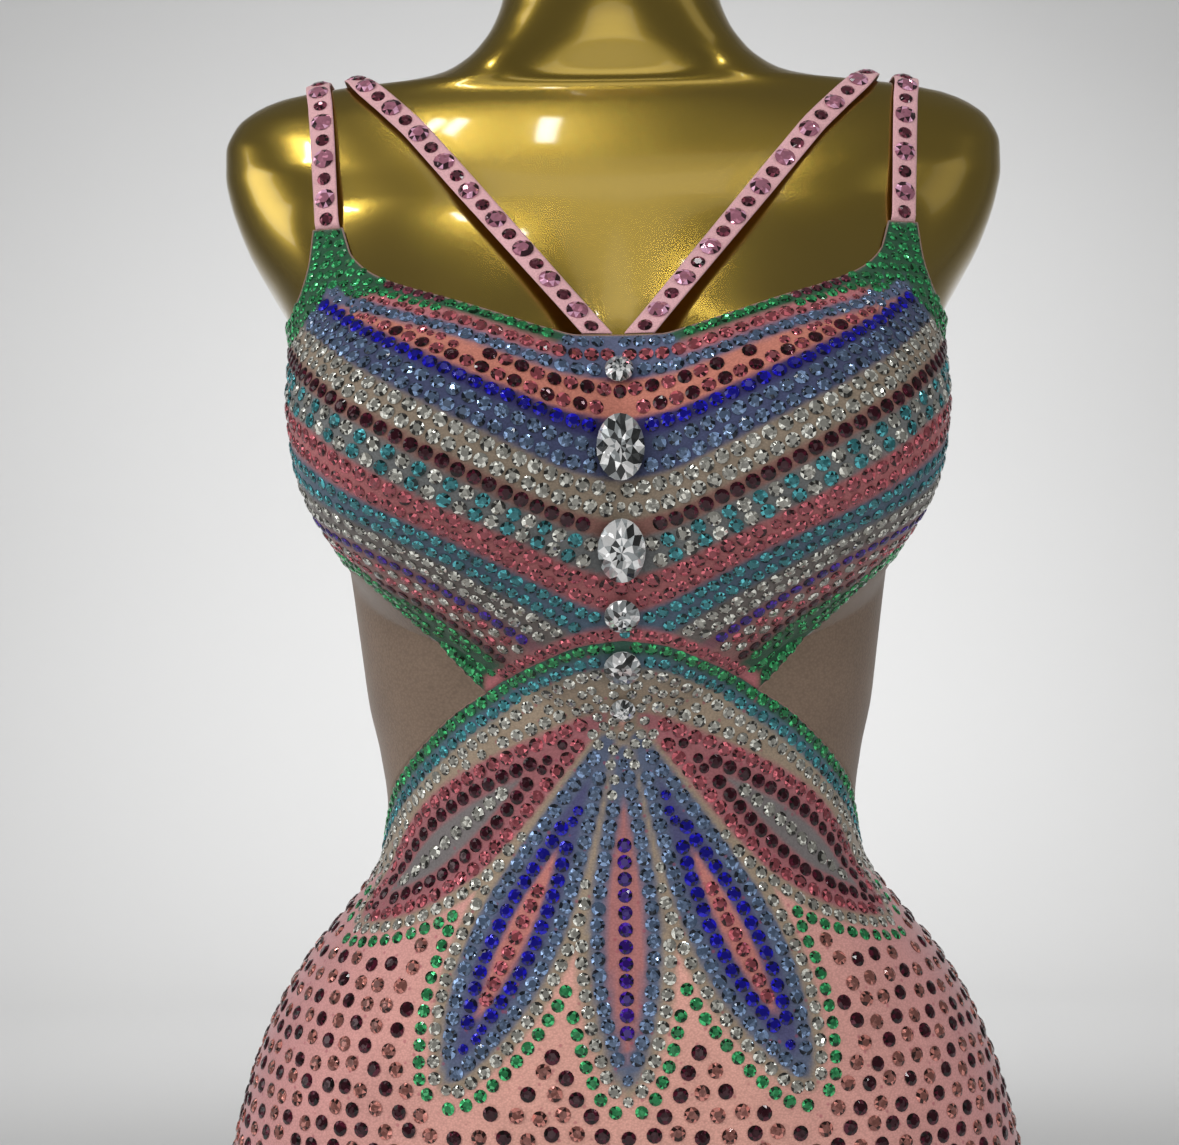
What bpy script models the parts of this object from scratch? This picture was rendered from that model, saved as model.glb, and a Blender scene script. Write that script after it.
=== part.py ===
"""A short sheer rhinestone dress on a limbless dress form that stands on its own flat base.

The form is a loft of horizontal sections. Every piece of cloth is a wall that follows the form's
surface, a set distance outside it, and is bounded by edge lines given as height over angle.
Units in the tables are millimetres. The front faces -Y, and left and right are the wearer's.
"""

import math
from collections import namedtuple

import bmesh
import bpy
from mathutils import Matrix, Vector

MM = 0.001

# Walls and gaps, in millimetres
CLOTH_GAP = 0.9
CLOTH_WALL = 1.3
MESH_WALL = 1.0
SEAM_GAP = 0.6
SIDE_SEAM_GAP = 0.7
STRAP_GAP = 2.0
STRAP_WIDTH = 11.0
STRAP_WALL = 1.4
STRAP_END_GAP = 0.5
GEM_GAP = 0.7

# Heights above the surface that the form stands on, in millimetres
HEM_HEIGHT = 45.0
NECK_TOP = 850.0

# The form's horizontal sections: half its width, its depth in front of and behind the middle, and
# the exponent of its super-ellipse
Section = namedtuple("Section", "height half_width front back squareness")
SECTION_ROWS = (
    (0, 158, 84, 104, 2.6),
    (40, 166, 92, 114, 2.6),
    (100, 176, 102, 126, 2.5),
    (170, 183, 109, 134, 2.4),
    (230, 184, 112, 135, 2.3),
    (264, 181, 112, 131, 2.3),
    (286, 176, 111, 126, 2.3),
    (309, 169, 110, 120, 2.3),
    (332, 159, 107, 112, 2.3),
    (355, 145, 102, 102, 2.3),
    (379, 125, 96, 91, 2.3),
    (391, 116, 93, 86, 2.3),
    (402, 110, 91, 82, 2.2),
    (426, 107, 88, 77, 2.2),
    (450, 110, 87, 76, 2.2),
    (473, 115, 89, 78, 2.2),
    (496, 118, 92, 82, 2.2),
    (520, 121, 95, 86, 2.2),
    (543, 124, 98, 90, 2.2),
    (567, 127, 100, 94, 2.3),
    (590, 131, 100, 98, 2.3),
    (614, 137, 98, 100, 2.4),
    (638, 145, 93, 101, 2.4),
    (661, 158, 85, 100, 2.5),
    (685, 171, 75, 98, 2.6),
    (708, 179, 63, 92, 2.7),
    (720, 181, 56, 88, 2.8),
    (731, 181, 49, 83, 2.8),
    (743, 176, 41, 76, 2.8),
    (750, 168, 36, 71, 2.7),
    (755, 157, 32, 67, 2.7),
    (758, 144, 30.5, 64.5, 2.6),
    (760.5, 126, 30, 62.5, 2.5),
    (763, 100, 30.5, 61, 2.4),
    (767, 82, 32, 60.5, 2.3),
    (772, 72, 34, 61, 2.2),
    (778, 64.5, 36, 61.5, 2.1),
    (790, 55.5, 38, 62, 2.1),
    (802, 51, 39, 62.5, 2.0),
    (818, 48.5, 39.5, 63, 2.0),
    (840, 48, 39.5, 63.5, 2.0),
    (NECK_TOP, 45, 36.5, 60.5, 2.0),
)
FORM_SECTIONS = [Section(*row) for row in SECTION_ROWS]
FORM_FRONT_STEP = 7.5
FORM_BACK_STEP = 9.375
FORM_STEP_CHANGE = 105.0
FORM_ROW_FINE = 13.0
FORM_ROW_COARSE = 36.0
FORM_FINE_FROM = 305.0

# The bust: how far it stands out, where, and how far it spreads before it is gone
BUST_DEPTH = 60.0
BUST_HEIGHT = 586.0
BUST_ANGLE = 35.0
BUST_SPREAD_IN = 52.0
BUST_SPREAD_OUT = 50.0
BUST_SPREAD_UP = 116.0
BUST_SPREAD_DOWN = 62.0
BUST_POWER_UP = 1.8
BUST_POWER_DOWN = 1.1

# The cloth stands a little off the cups, spans the hollow between them and leaves the body below
CLOTH_BUST_DEPTH = 61.0
CLOTH_BRIDGE = 0.35
CLOTH_DOWN_CENTRE = 125.0
CLOTH_DOWN_CUP = 84.0
CLOTH_DOWN_SIDE = 54.0

# Edge lines of the front, as rows of x from the centre front and height from the floor
NECKLINE = (
    (0, 632), (17, 632), (30, 635), (44, 639.5), (69, 648), (90, 655), (105, 662),
    (114, 670), (118, 677), (120.5, 686),
)
HORN_HEIGHT = 686
ARMHOLE = ((133.5, HORN_HEIGHT), (134.5, 668), (138, 655), (143, 647), (150, 643))
WAIST_SEAM = ((0, 505), (17, 503), (34, 496.5), (48, 489), (58.5, 481.5))
UPPER_CUTOUT = ((58.5, 481.5), (69, 492), (79, 503), (92, 515.5), (103, 526), (114, 536))
LOWER_CUTOUT = ((58.5, 481.5), (70, 474), (83, 462), (95, 448), (103, 434))

# The same edges at the side, and the back's, as rows of angle from the centre front and height
SIDE_SEAM_ANGLE = 97.5
ARMHOLE_SIDE = ((88, 641), (SIDE_SEAM_ANGLE, 641))
UPPER_CUTOUT_SIDE = ((86, 544), (SIDE_SEAM_ANGLE, 547))
LOWER_CUTOUT_SIDE = ((84, 420), (93, 408), (SIDE_SEAM_ANGLE, 402))
BACK_TOP = ((SIDE_SEAM_ANGLE, 641), (125, 638), (150, 631), (180, 627))
BACK_BAND_BOTTOM = ((SIDE_SEAM_ANGLE, 547), (140, 552), (180, 556))
BACK_SKIRT_TOP = ((SIDE_SEAM_ANGLE, 402), (130, 393), (180, 393))

# Columns of one half of the front between its corner points
CENTRE_SPANS = 5
CUP_SPANS = 4
HORN_SPANS = 2
ARMHOLE_SPANS = 6
ARMHOLE_END_ANGLE = 60.0
EASE = 1.6

BODICE_ROWS = 12
SIDE_MESH_ROWS = 6
BACK_BAND_ROWS = 4
BACK_MESH_ROWS = 7
CORNER_MESH_HEIGHT = 2.2
BISECTIONS = 40
MERGE_WITHIN = 0.01

# The skirt's rows, as shares of its height at each column: closer together over the hips
SKIRT_ROW_SHARES = (0, 0.12, 0.23, 0.34, 0.44, 0.53, 0.61, 0.68, 0.74, 0.79, 0.83, 0.87, 0.91, 0.95, 1)

# Each strap on the wearer's left: its path up the front, as rows of height and x, the x where it
# crosses the shoulder, and the x of its back end
Strap = namedtuple("Strap", "name front_path crest_x back_x")
STRAPS = (
    Strap("outer", ((HORN_HEIGHT, 127), (745, 133)), 136, 118),
    Strap("inner", ((632.6, 9.2), (656, 22.5), (680, 41), (707, 66), (738, 95)), 119, 42),
)
STRAP_SAMPLES = 90
STRAP_SPANS = 30
STRAP_TURN_LENGTH = 26.0

# The large sewn-on crystals down the centre front
Gem = namedtuple("Gem", "name height width length depth")
GEMS = (
    Gem("gem_1_round", 616, 12, 12, 5.0),
    Gem("gem_2_oval", 585, 20, 28, 6.5),
    Gem("gem_3_oval", 544.5, 20, 28, 6.5),
    Gem("gem_4_round", 517, 15, 15, 5.5),
    Gem("gem_5_round", 494.5, 16, 16, 5.5),
    Gem("gem_6_round", 475.5, 11, 11, 4.5),
)
GEM_SIDES = 16
GEM_SEAT_STEPS = 4
GEM_TABLE_SHARE = 0.55
GEM_BACK_SHARE = 0.9
GEM_GIRDLE_LOW = 0.28
GEM_GIRDLE_HIGH = 0.4


def table_value(rows, column, at):
    """A smooth value between a table's rows that never swings past them."""
    if at <= rows[0][0]:
        return rows[0][column]
    if at >= rows[-1][0]:
        return rows[-1][column]
    i = next(k for k in range(len(rows) - 1) if rows[k + 1][0] >= at)

    def slope(k):
        return (rows[k + 1][column] - rows[k][column]) / (rows[k + 1][0] - rows[k][0])

    def tangent(k):
        if k == 0 or k == len(rows) - 1:
            return slope(min(k, len(rows) - 2))
        before, after = slope(k - 1), slope(k)
        if before * after <= 0:
            return 0.0
        return 2 * before * after / (before + after)

    step = rows[i + 1][0] - rows[i][0]
    t = (at - rows[i][0]) / step
    low, high = rows[i][column], rows[i + 1][column]
    return (
        (2 * t**3 - 3 * t**2 + 1) * low
        + (t**3 - 2 * t**2 + t) * step * tangent(i)
        + (3 * t**2 - 2 * t**3) * high
        + (t**3 - t**2) * step * tangent(i + 1)
    )


def section_at(height):
    columns = range(1, len(Section._fields))
    return Section(height, *(table_value(FORM_SECTIONS, c, height) for c in columns))


def signed_power(value, power):
    return math.copysign(abs(value) ** power, value)


def fade(distance, spread):
    """1 at the middle of the bust and 0 where it has run out."""
    return math.cos(0.5 * math.pi * min(1.0, abs(distance) / spread))


def bust_amount(angle, height, depth, down, bridge):
    """How far the bust pushes the surface out. Angle is from the centre front, either way."""
    off = abs(angle) - BUST_ANGLE
    around = fade(off, BUST_SPREAD_IN if off < 0 else BUST_SPREAD_OUT) ** 2
    if off < 0:
        around += (1 - around) * bridge
    rise = height - BUST_HEIGHT
    if rise > 0:
        return depth * around * fade(rise, BUST_SPREAD_UP) ** BUST_POWER_UP
    return depth * around * fade(rise, down) ** BUST_POWER_DOWN


def body_point(angle, height, *bust):
    """A point of the body's surface. Angle 0 is the centre front and 90 the wearer's left."""
    section = section_at(height)
    s, c = math.sin(math.radians(angle)), math.cos(math.radians(angle))
    half, depth = section.half_width, section.front if c > 0 else section.back
    power = 2 / section.squareness
    point = Vector((half * signed_power(s, power), -depth * signed_power(c, power), height))
    out = Vector((signed_power(s, 2 - power) / half, -signed_power(c, 2 - power) / depth, 0))
    return point + out.normalized() * bust_amount((angle + 180) % 360 - 180, height, *bust)


def form_surface(angle, height):
    return body_point(angle, height, BUST_DEPTH, BUST_SPREAD_DOWN, 0.0)


def cloth_surface(angle, height):
    """The body as the stretched cloth follows it, before the gap is added."""
    away = abs((angle + 180) % 360 - 180)
    if away < BUST_ANGLE:
        share = away / BUST_ANGLE
        down = CLOTH_DOWN_CENTRE + (CLOTH_DOWN_CUP - CLOTH_DOWN_CENTRE) * share
    else:
        share = min(1.0, (away - BUST_ANGLE) / (90 - BUST_ANGLE))
        down = CLOTH_DOWN_CUP + (CLOTH_DOWN_SIDE - CLOTH_DOWN_CUP) * share
    return body_point(angle, height, CLOTH_BUST_DEPTH, down, CLOTH_BRIDGE)


def surface_normal(surface, angle, height):
    """The outward normal, from small steps along the surface."""
    turn, rise = 0.5, 0.5
    across = surface(angle + turn, height) - surface(angle - turn, height)
    up = surface(angle, height + rise) - surface(angle, height - rise)
    return across.cross(up).normalized()


def cloth_point(angle, height, out):
    """A point a distance outside the body, measured along the surface's own normal."""
    return cloth_surface(angle, height) + surface_normal(cloth_surface, angle, height) * out


def bisected(is_below, low, high):
    """The value between low and high at which is_below turns false."""
    for _ in range(BISECTIONS):
        middle = (low + high) / 2
        low, high = (middle, high) if is_below(middle) else (low, middle)
    return (low + high) / 2


def angle_at(x, height, surface=cloth_surface, behind=False):
    """The angle at which the front of the surface, or its back, has this x."""
    if behind:
        return 180 - bisected(lambda turn: surface(180 - turn, height).x < x, 0, 90)
    return bisected(lambda angle: surface(angle, height).x < x, 0, 90)


def by_angle(rows):
    """An edge line's rows as angle and height, from rows of x and height."""
    return [(angle_at(x, height), height) for x, height in rows]


NECKLINE_ROWS = by_angle(NECKLINE)
ARMHOLE_ROWS = by_angle(ARMHOLE) + list(ARMHOLE_SIDE)
SEAM_ROWS = by_angle(WAIST_SEAM)
UPPER_ROWS = by_angle(UPPER_CUTOUT) + list(UPPER_CUTOUT_SIDE)
LOWER_ROWS = by_angle(LOWER_CUTOUT) + list(LOWER_CUTOUT_SIDE)
HORN_INNER_ANGLE = NECKLINE_ROWS[-1][0]
HORN_OUTER_ANGLE = ARMHOLE_ROWS[0][0]
TIP_ANGLE = SEAM_ROWS[-1][0]


def bodice_top(angle):
    away = abs(angle)
    if away <= HORN_INNER_ANGLE:
        return table_value(NECKLINE_ROWS, 1, away)
    if away <= HORN_OUTER_ANGLE:
        return HORN_HEIGHT
    return table_value(ARMHOLE_ROWS, 1, away)


def bodice_bottom(angle):
    away = abs(angle)
    return table_value(SEAM_ROWS if away <= TIP_ANGLE else UPPER_ROWS, 1, away)


def skirt_top(angle):
    away = abs(angle)
    return table_value(SEAM_ROWS if away <= TIP_ANGLE else LOWER_ROWS, 1, away)


def back_edge(rows):
    """An edge line of the back, by the angle from the centre front to either side."""
    return lambda angle: table_value(rows, 1, 180 - abs(180 - angle))


def above(edge, gap=SEAM_GAP / 2):
    return lambda angle: edge(angle) + gap


def below(edge, gap=SEAM_GAP / 2):
    return lambda angle: edge(angle) - gap


def level(height):
    return lambda angle: height


def spaced(start, end, spans, power=1.0):
    """Angles from start up to end, closer together near the end for a power above 1, and near
    the start for one below."""
    if power >= 1:
        return [end - (end - start) * (1 - k / spans) ** power for k in range(spans + 1)]
    return [start + (end - start) * (k / spans) ** (1 / power) for k in range(spans + 1)]


def even_shares(rows):
    return [k / rows for k in range(rows + 1)]


def stepped(start, end, step):
    return [start + step * k for k in range(round((end - start) / step) + 1)]


def half_columns():
    """The angles of the front's columns from the centre front to the side seam."""
    inner = spaced(0, TIP_ANGLE, CENTRE_SPANS)
    cup = spaced(TIP_ANGLE, HORN_INNER_ANGLE, CUP_SPANS, EASE)
    horn = spaced(HORN_INNER_ANGLE, HORN_OUTER_ANGLE, HORN_SPANS)
    armhole = spaced(HORN_OUTER_ANGLE, ARMHOLE_END_ANGLE, ARMHOLE_SPANS, 1 / EASE)
    side = stepped(ARMHOLE_END_ANGLE, SIDE_SEAM_ANGLE, FORM_FRONT_STEP)
    return inner + cup[1:] + horn[1:] + armhole[1:] + side[1:]


def front_columns(margin):
    """The front's angles on the wearer's left, with the side seam pulled in by a margin."""
    return half_columns()[:-1] + [SIDE_SEAM_ANGLE - margin]


def cutout_columns(margin):
    """The angles across one cut-out, from close to its front corner to the side seam."""
    corner = bisected(
        lambda a: bodice_bottom(a) - skirt_top(a) < CORNER_MESH_HEIGHT, TIP_ANGLE, SIDE_SEAM_ANGLE
    )
    return [corner] + [a for a in front_columns(margin) if a > corner]


def back_columns(margin):
    """The back's angles on the wearer's left: the form's own, from the side seam to the middle."""
    return [SIDE_SEAM_ANGLE + margin] + stepped(FORM_STEP_CHANGE, 180, FORM_BACK_STEP)


def seam_margin():
    """Half of the side seam's gap as an angle, at the shallowest section that it crosses."""
    shallowest = min(row.back for row in FORM_SECTIONS if HEM_HEIGHT < row.height < BUST_HEIGHT)
    return math.degrees(SIDE_SEAM_GAP / 2 / shallowest)


def new_material(name, colour, roughness, metallic=0.0, alpha=1.0):
    material = bpy.data.materials.new(name)
    material.use_nodes = True
    shader = material.node_tree.nodes["Principled BSDF"]
    shader.inputs["Base Color"].default_value = (*colour, 1.0)
    shader.inputs["Roughness"].default_value = roughness
    shader.inputs["Metallic"].default_value = metallic
    shader.inputs["Alpha"].default_value = alpha
    return material


def add_object(name, body, material, collection, smooth_angle=40):
    """An object of its own from a bmesh whose points are in millimetres."""
    bmesh.ops.scale(body, vec=(MM, MM, MM), verts=body.verts)
    mesh = bpy.data.meshes.new(name)
    body.to_mesh(mesh)
    body.free()
    mesh.materials.append(material)
    mesh.shade_smooth()
    mesh.set_sharp_from_angle(angle=math.radians(smooth_angle))
    obj = bpy.data.objects.new(name, mesh)
    collection.objects.link(obj)
    return obj


def bent_grid(lines):
    """An open surface: a flat grid whose points are moved to these, one list for each row."""
    body = bmesh.new()
    across = len(lines[0])
    bmesh.ops.create_grid(body, x_segments=across - 1, y_segments=len(lines) - 1, size=1)
    body.verts.ensure_lookup_table()
    for k, vert in enumerate(body.verts):
        vert.co = lines[k // across][k % across]
    return body


def add_mirror(obj):
    """Makes a whole piece of its left half, which is open at the middle."""
    mirror = obj.modifiers.new("right half", "MIRROR")
    mirror.merge_threshold = MERGE_WITHIN * MM


def add_wall(obj, thickness):
    """Gives an open surface its thickness, half of it to each side."""
    wall = obj.modifiers.new("wall", "SOLIDIFY")
    wall.thickness = thickness * MM
    wall.offset = 0


def mirrored_copy(obj, name, collection):
    """The wearer's right piece, which is the left one seen in a mirror."""
    copy = obj.copy()
    copy.name = name
    copy.scale.x = -1
    collection.objects.link(copy)
    return copy


def panel(name, columns, bottom, top, shares, wall, material, collection):
    """A wall of cloth over these columns, between two edge lines. Each row lies at its share of
    the way from the bottom line to the top one."""
    lines = []
    for share in shares:
        heights = [bottom(a) + (top(a) - bottom(a)) * share for a in columns]
        lines.append([cloth_point(a, h, CLOTH_GAP + wall / 2) for a, h in zip(columns, heights)])
    obj = add_object(name, bent_grid(lines), material, collection)
    if 0 in columns or 180 in columns:
        add_mirror(obj)
    add_wall(obj, wall)
    return obj


def form_heights():
    """The section heights, with more between those that lie far apart."""
    heights = []
    for low, high in zip(FORM_SECTIONS, FORM_SECTIONS[1:]):
        limit = FORM_ROW_FINE if high.height > FORM_FINE_FROM else FORM_ROW_COARSE
        rise = high.height - low.height
        spans = math.ceil(rise / limit)
        heights += [low.height + rise * k / spans for k in range(spans)]
    return heights + [NECK_TOP]


def build_form(material, collection):
    """The dress form: half a loft of rings with a flat base and a flat neck cap, and its mirror."""
    body = bmesh.new()
    angles = stepped(0, FORM_STEP_CHANGE, FORM_FRONT_STEP)
    angles += stepped(FORM_STEP_CHANGE, 180, FORM_BACK_STEP)[1:]
    rings = [[body.verts.new(form_surface(a, h)) for a in angles] for h in form_heights()]
    for low, high in zip(rings, rings[1:]):
        for k in range(len(angles) - 1):
            body.faces.new((low[k], low[k + 1], high[k + 1], high[k]))
    body.faces.new(rings[0][::-1])
    body.faces.new(rings[-1])
    add_mirror(add_object("dress_form", body, material, collection, smooth_angle=60))


def crest_height(x):
    """How high the top of the shoulder is at this x."""
    shoulders = [row for row in FORM_SECTIONS if row.height > BUST_HEIGHT]
    widest = max(shoulders, key=lambda row: row.half_width)
    return bisected(lambda height: section_at(height).half_width > x, widest.height, NECK_TOP)


def pulled_tight(points):
    """The points of a string drawn tight over the body: those in a dip are left out."""
    kept = []
    for point in points:
        while len(kept) > 1:
            first, last = kept[-2], kept[-1]
            along = Vector((last.y - first.y, last.z - first.z))
            onward = Vector((point.y - last.y, point.z - last.z))
            if along.x * onward.y - along.y * onward.x < 0:
                break
            kept.pop()
        kept.append(point)
    return kept


def resampled(points, spans):
    """The same line with its points evenly spaced."""
    lengths = [0.0]
    for a, b in zip(points, points[1:]):
        lengths.append(lengths[-1] + (b - a).length)
    line, k = [], 0
    for n in range(spans + 1):
        at = lengths[-1] * n / spans
        while k < len(points) - 2 and lengths[k + 1] < at:
            k += 1
        share = (at - lengths[k]) / (lengths[k + 1] - lengths[k])
        line.append(points[k].lerp(points[k + 1], share))
    return line


def rise_over(start, path, crest, behind):
    """Points that lie on the form from a start height up to its crest, close together at the top."""
    middle = STRAP_GAP + STRAP_WALL / 2
    points = []
    for k in range(1, STRAP_SAMPLES):
        height = start + (crest - start) * math.sin(0.5 * math.pi * k / STRAP_SAMPLES)
        angle = angle_at(table_value(path, 1, height), height, form_surface, behind)
        out = surface_normal(form_surface, angle, height) * middle
        points.append(form_surface(angle, height) + out)
    return points


def strap_line(strap):
    """The strap's centre line on the wearer's left: up the front, over the shoulder, down the back."""
    middle = CLOTH_GAP + STRAP_WALL / 2
    crest = crest_height(strap.crest_x)
    path = strap.front_path + ((crest, strap.crest_x),)
    start = path[0][0] + STRAP_END_GAP
    front = [cloth_point(angle_at(path[0][1], start), start, middle)]
    front += rise_over(start, path, crest, behind=False)

    band_top = back_edge(BACK_TOP)
    back_angle = angle_at(strap.back_x, BACK_TOP[0][1], behind=True)
    aside = math.degrees(STRAP_WIDTH / 2 / strap.back_x)
    end = max(band_top(back_angle - aside), band_top(back_angle + aside)) + STRAP_END_GAP
    fall = ((end, strap.back_x), (crest, strap.crest_x))
    back = [cloth_point(back_angle, end, middle)]
    back += rise_over(end, fall, crest, behind=True)
    return resampled(pulled_tight(front + back[::-1]), STRAP_SPANS)


def nearest_normal(point):
    """The form's normal at the place on it that lies beside this point."""
    height = min(point.z, crest_height(abs(point.x)) - 0.5)
    section = section_at(height)
    behind = point.y > (section.back - section.front) / 2
    angle = angle_at(abs(point.x), height, form_surface, behind)
    return surface_normal(form_surface, angle, height)


def build_strap(name, line, material, collection):
    """A flat strap along its line. Its two ends are cut level, where it meets the cloth."""
    edges, length = [], sum((b - a).length for a, b in zip(line, line[1:]))
    for k, point in enumerate(line):
        along = (line[min(k + 1, len(line) - 1)] - line[max(k - 1, 0)]).normalized()
        out = nearest_normal(point)
        out = (out - along * out.dot(along)).normalized()
        square = along.cross(out).normalized()
        level_cut = out.cross(Vector((0, 0, 1))).normalized()
        if level_cut.dot(square) < 0:
            level_cut = -level_cut
        to_end = min(k, len(line) - 1 - k) * length / (len(line) - 1)
        share = max(0.0, 1 - to_end / STRAP_TURN_LENGTH)
        across = square.lerp(level_cut, share).normalized()
        half = across * (STRAP_WIDTH / 2 / across.cross(along).length)
        edges.append([point - half, point + half])
    obj = add_object(name, bent_grid(edges), material, collection)
    add_wall(obj, STRAP_WALL)
    return obj


def gem_seat(gem):
    """Where a stone's back lies, clear of the curved cloth behind it, and its upward and outward
    directions."""
    surface = CLOTH_GAP + CLOTH_WALL
    seat = cloth_point(0, gem.height, surface)
    top = cloth_point(0, gem.height + gem.length / 2, surface)
    bottom = cloth_point(0, gem.height - gem.length / 2, surface)
    rise = (top - bottom).normalized()
    out = Vector((1, 0, 0)).cross(rise)
    clear = 0.0
    for step in range(-GEM_SEAT_STEPS, GEM_SEAT_STEPS + 1):
        height = gem.height + gem.length / 2 * step / GEM_SEAT_STEPS
        for aside in range(GEM_SEAT_STEPS + 1):
            angle = angle_at(gem.width / 2 * aside / GEM_SEAT_STEPS, height)
            clear = max(clear, (cloth_point(angle, height, surface) - seat).dot(out))
    return seat + out * (clear + GEM_GAP), rise, out


def build_gem(gem, material, collection):
    """A turned, faceted stone with a flat back, set just clear of the cloth."""
    profile = (
        (0.0, gem.depth),
        (GEM_TABLE_SHARE, gem.depth),
        (1.0, gem.depth * GEM_GIRDLE_HIGH),
        (1.0, gem.depth * GEM_GIRDLE_LOW),
        (GEM_BACK_SHARE, 0.0),
        (0.0, 0.0),
    )
    mesh = bpy.data.meshes.new(gem.name)
    points = [(share * gem.width / 2 * MM, 0, rise * MM) for share, rise in profile]
    mesh.from_pydata(points, [(k, k + 1) for k in range(len(points) - 1)], [])
    mesh.materials.append(material)
    obj = bpy.data.objects.new(gem.name, mesh)
    collection.objects.link(obj)
    turn = obj.modifiers.new("turn", "SCREW")
    turn.steps = turn.render_steps = GEM_SIDES
    turn.use_merge_vertices = True
    turn.merge_threshold = MERGE_WITHIN * MM
    turn.use_smooth_shade = False

    place, rise, out = gem_seat(gem)
    axes = Matrix((Vector((1, 0, 0)), rise, out)).transposed().to_4x4()
    stretch = Matrix.Diagonal((1, gem.length / gem.width, 1, 1))
    obj.matrix_world = Matrix.Translation(place * MM) @ axes @ stretch


def main():
    for old in list(bpy.data.objects):
        bpy.data.objects.remove(old)
    collection = bpy.data.collections.new("rhinestone_dress")
    bpy.context.scene.collection.children.link(collection)

    gold = new_material("gold_gloss", (0.62, 0.47, 0.12), 0.16, metallic=1.0)
    printed = new_material("printed_stretch_cloth", (0.70, 0.52, 0.54), 0.7)
    pink = new_material("pink_mesh_cloth", (0.80, 0.50, 0.48), 0.75)
    nude = new_material("nude_mesh", (0.42, 0.33, 0.26), 0.8)
    strap_pink = new_material("strap_elastic", (0.84, 0.56, 0.60), 0.6)
    crystal = new_material("clear_crystal", (0.92, 0.93, 0.95), 0.05, metallic=0.2)

    build_form(gold, collection)

    margin = seam_margin()
    front, back = front_columns(margin), back_columns(margin)
    panel(
        "bodice_front", front, above(bodice_bottom), bodice_top, even_shares(BODICE_ROWS),
        CLOTH_WALL, printed, collection,
    )
    panel(
        "skirt_front", front, level(HEM_HEIGHT), below(skirt_top), SKIRT_ROW_SHARES,
        CLOTH_WALL, pink, collection,
    )
    side_mesh = panel(
        "side_mesh_left", cutout_columns(margin), above(skirt_top), below(bodice_bottom),
        even_shares(SIDE_MESH_ROWS), MESH_WALL, nude, collection,
    )
    mirrored_copy(side_mesh, "side_mesh_right", collection)
    panel(
        "back_band", back, above(back_edge(BACK_BAND_BOTTOM)), back_edge(BACK_TOP),
        even_shares(BACK_BAND_ROWS), CLOTH_WALL, printed, collection,
    )
    panel(
        "back_mesh", back, above(back_edge(BACK_SKIRT_TOP)), below(back_edge(BACK_BAND_BOTTOM)),
        even_shares(BACK_MESH_ROWS), MESH_WALL, nude, collection,
    )
    panel(
        "skirt_back", back, level(HEM_HEIGHT), below(back_edge(BACK_SKIRT_TOP)),
        SKIRT_ROW_SHARES, CLOTH_WALL, pink, collection,
    )
    for strap in STRAPS:
        left = build_strap(f"strap_{strap.name}_left", strap_line(strap), strap_pink, collection)
        mirrored_copy(left, f"strap_{strap.name}_right", collection)
    for gem in GEMS:
        build_gem(gem, crystal, collection)


main()
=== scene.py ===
"""The looks of a short sheer rhinestone dress on a gold dress form, set round the part's solids.

Places on the form and the cloth are given by their angle round the body, 0 at the centre front and 90
at the wearer's left, and their height. Lengths are millimetres, but metres for the camera, the lights,
the floor and the nodes.
"""

import itertools
import math
from collections import namedtuple

import bpy
import numpy as np
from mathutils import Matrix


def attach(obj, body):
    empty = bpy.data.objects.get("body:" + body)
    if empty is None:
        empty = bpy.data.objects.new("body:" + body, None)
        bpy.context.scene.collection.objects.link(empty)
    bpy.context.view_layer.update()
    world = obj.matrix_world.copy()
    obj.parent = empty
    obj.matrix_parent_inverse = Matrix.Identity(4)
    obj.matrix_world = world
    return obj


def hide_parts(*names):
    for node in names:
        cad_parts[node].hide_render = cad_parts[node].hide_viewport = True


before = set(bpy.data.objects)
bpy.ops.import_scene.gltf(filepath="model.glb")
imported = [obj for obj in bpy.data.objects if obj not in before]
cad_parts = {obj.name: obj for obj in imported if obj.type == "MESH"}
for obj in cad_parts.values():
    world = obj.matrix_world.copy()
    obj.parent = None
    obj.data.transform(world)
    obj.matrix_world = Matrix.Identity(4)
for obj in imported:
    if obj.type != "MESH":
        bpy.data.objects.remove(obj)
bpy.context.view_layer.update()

MM = 0.001
RANDOM_SEED = 7
rng = np.random.default_rng(RANDOM_SEED)


# Tables, lengths and directions

TINY = 1e-12
BISECTIONS = 32


def smooth_table(rows):
    """A function through a table's rows that never swings past them. The first column is where."""
    rows = np.array(rows, float)
    x, y = rows[:, 0], rows[:, 1:]
    slope = np.diff(y, axis=0) / np.diff(x)[:, None]
    tangent = np.zeros_like(y)
    tangent[0], tangent[-1] = slope[0], slope[-1]
    before, after = slope[:-1], slope[1:]
    total = np.where(before * after > 0, before + after, 1)
    tangent[1:-1] = np.where(before * after > 0, 2 * before * after / total, 0)

    def value(at):
        at = np.clip(np.asarray(at, float), x[0], x[-1])
        i = np.clip(np.searchsorted(x, at, side="right") - 1, 0, len(x) - 2)
        step = (x[i + 1] - x[i])[..., None]
        t = (at - x[i])[..., None] / step
        found = (
            (2 * t**3 - 3 * t**2 + 1) * y[i]
            + (t**3 - 2 * t**2 + t) * step * tangent[i]
            + (3 * t**2 - 2 * t**3) * y[i + 1]
            + (t**3 - t**2) * step * tangent[i + 1]
        )
        return found[..., 0] if y.shape[1] == 1 else found

    return value


def signed_power(value, power):
    return np.copysign(np.abs(value) ** power, value)


def fade(distance, spread):
    return np.cos(0.5 * np.pi * np.minimum(1.0, np.abs(distance) / spread))


def unit(vectors):
    return vectors / np.maximum(np.linalg.norm(vectors, axis=-1, keepdims=True), TINY)


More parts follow.
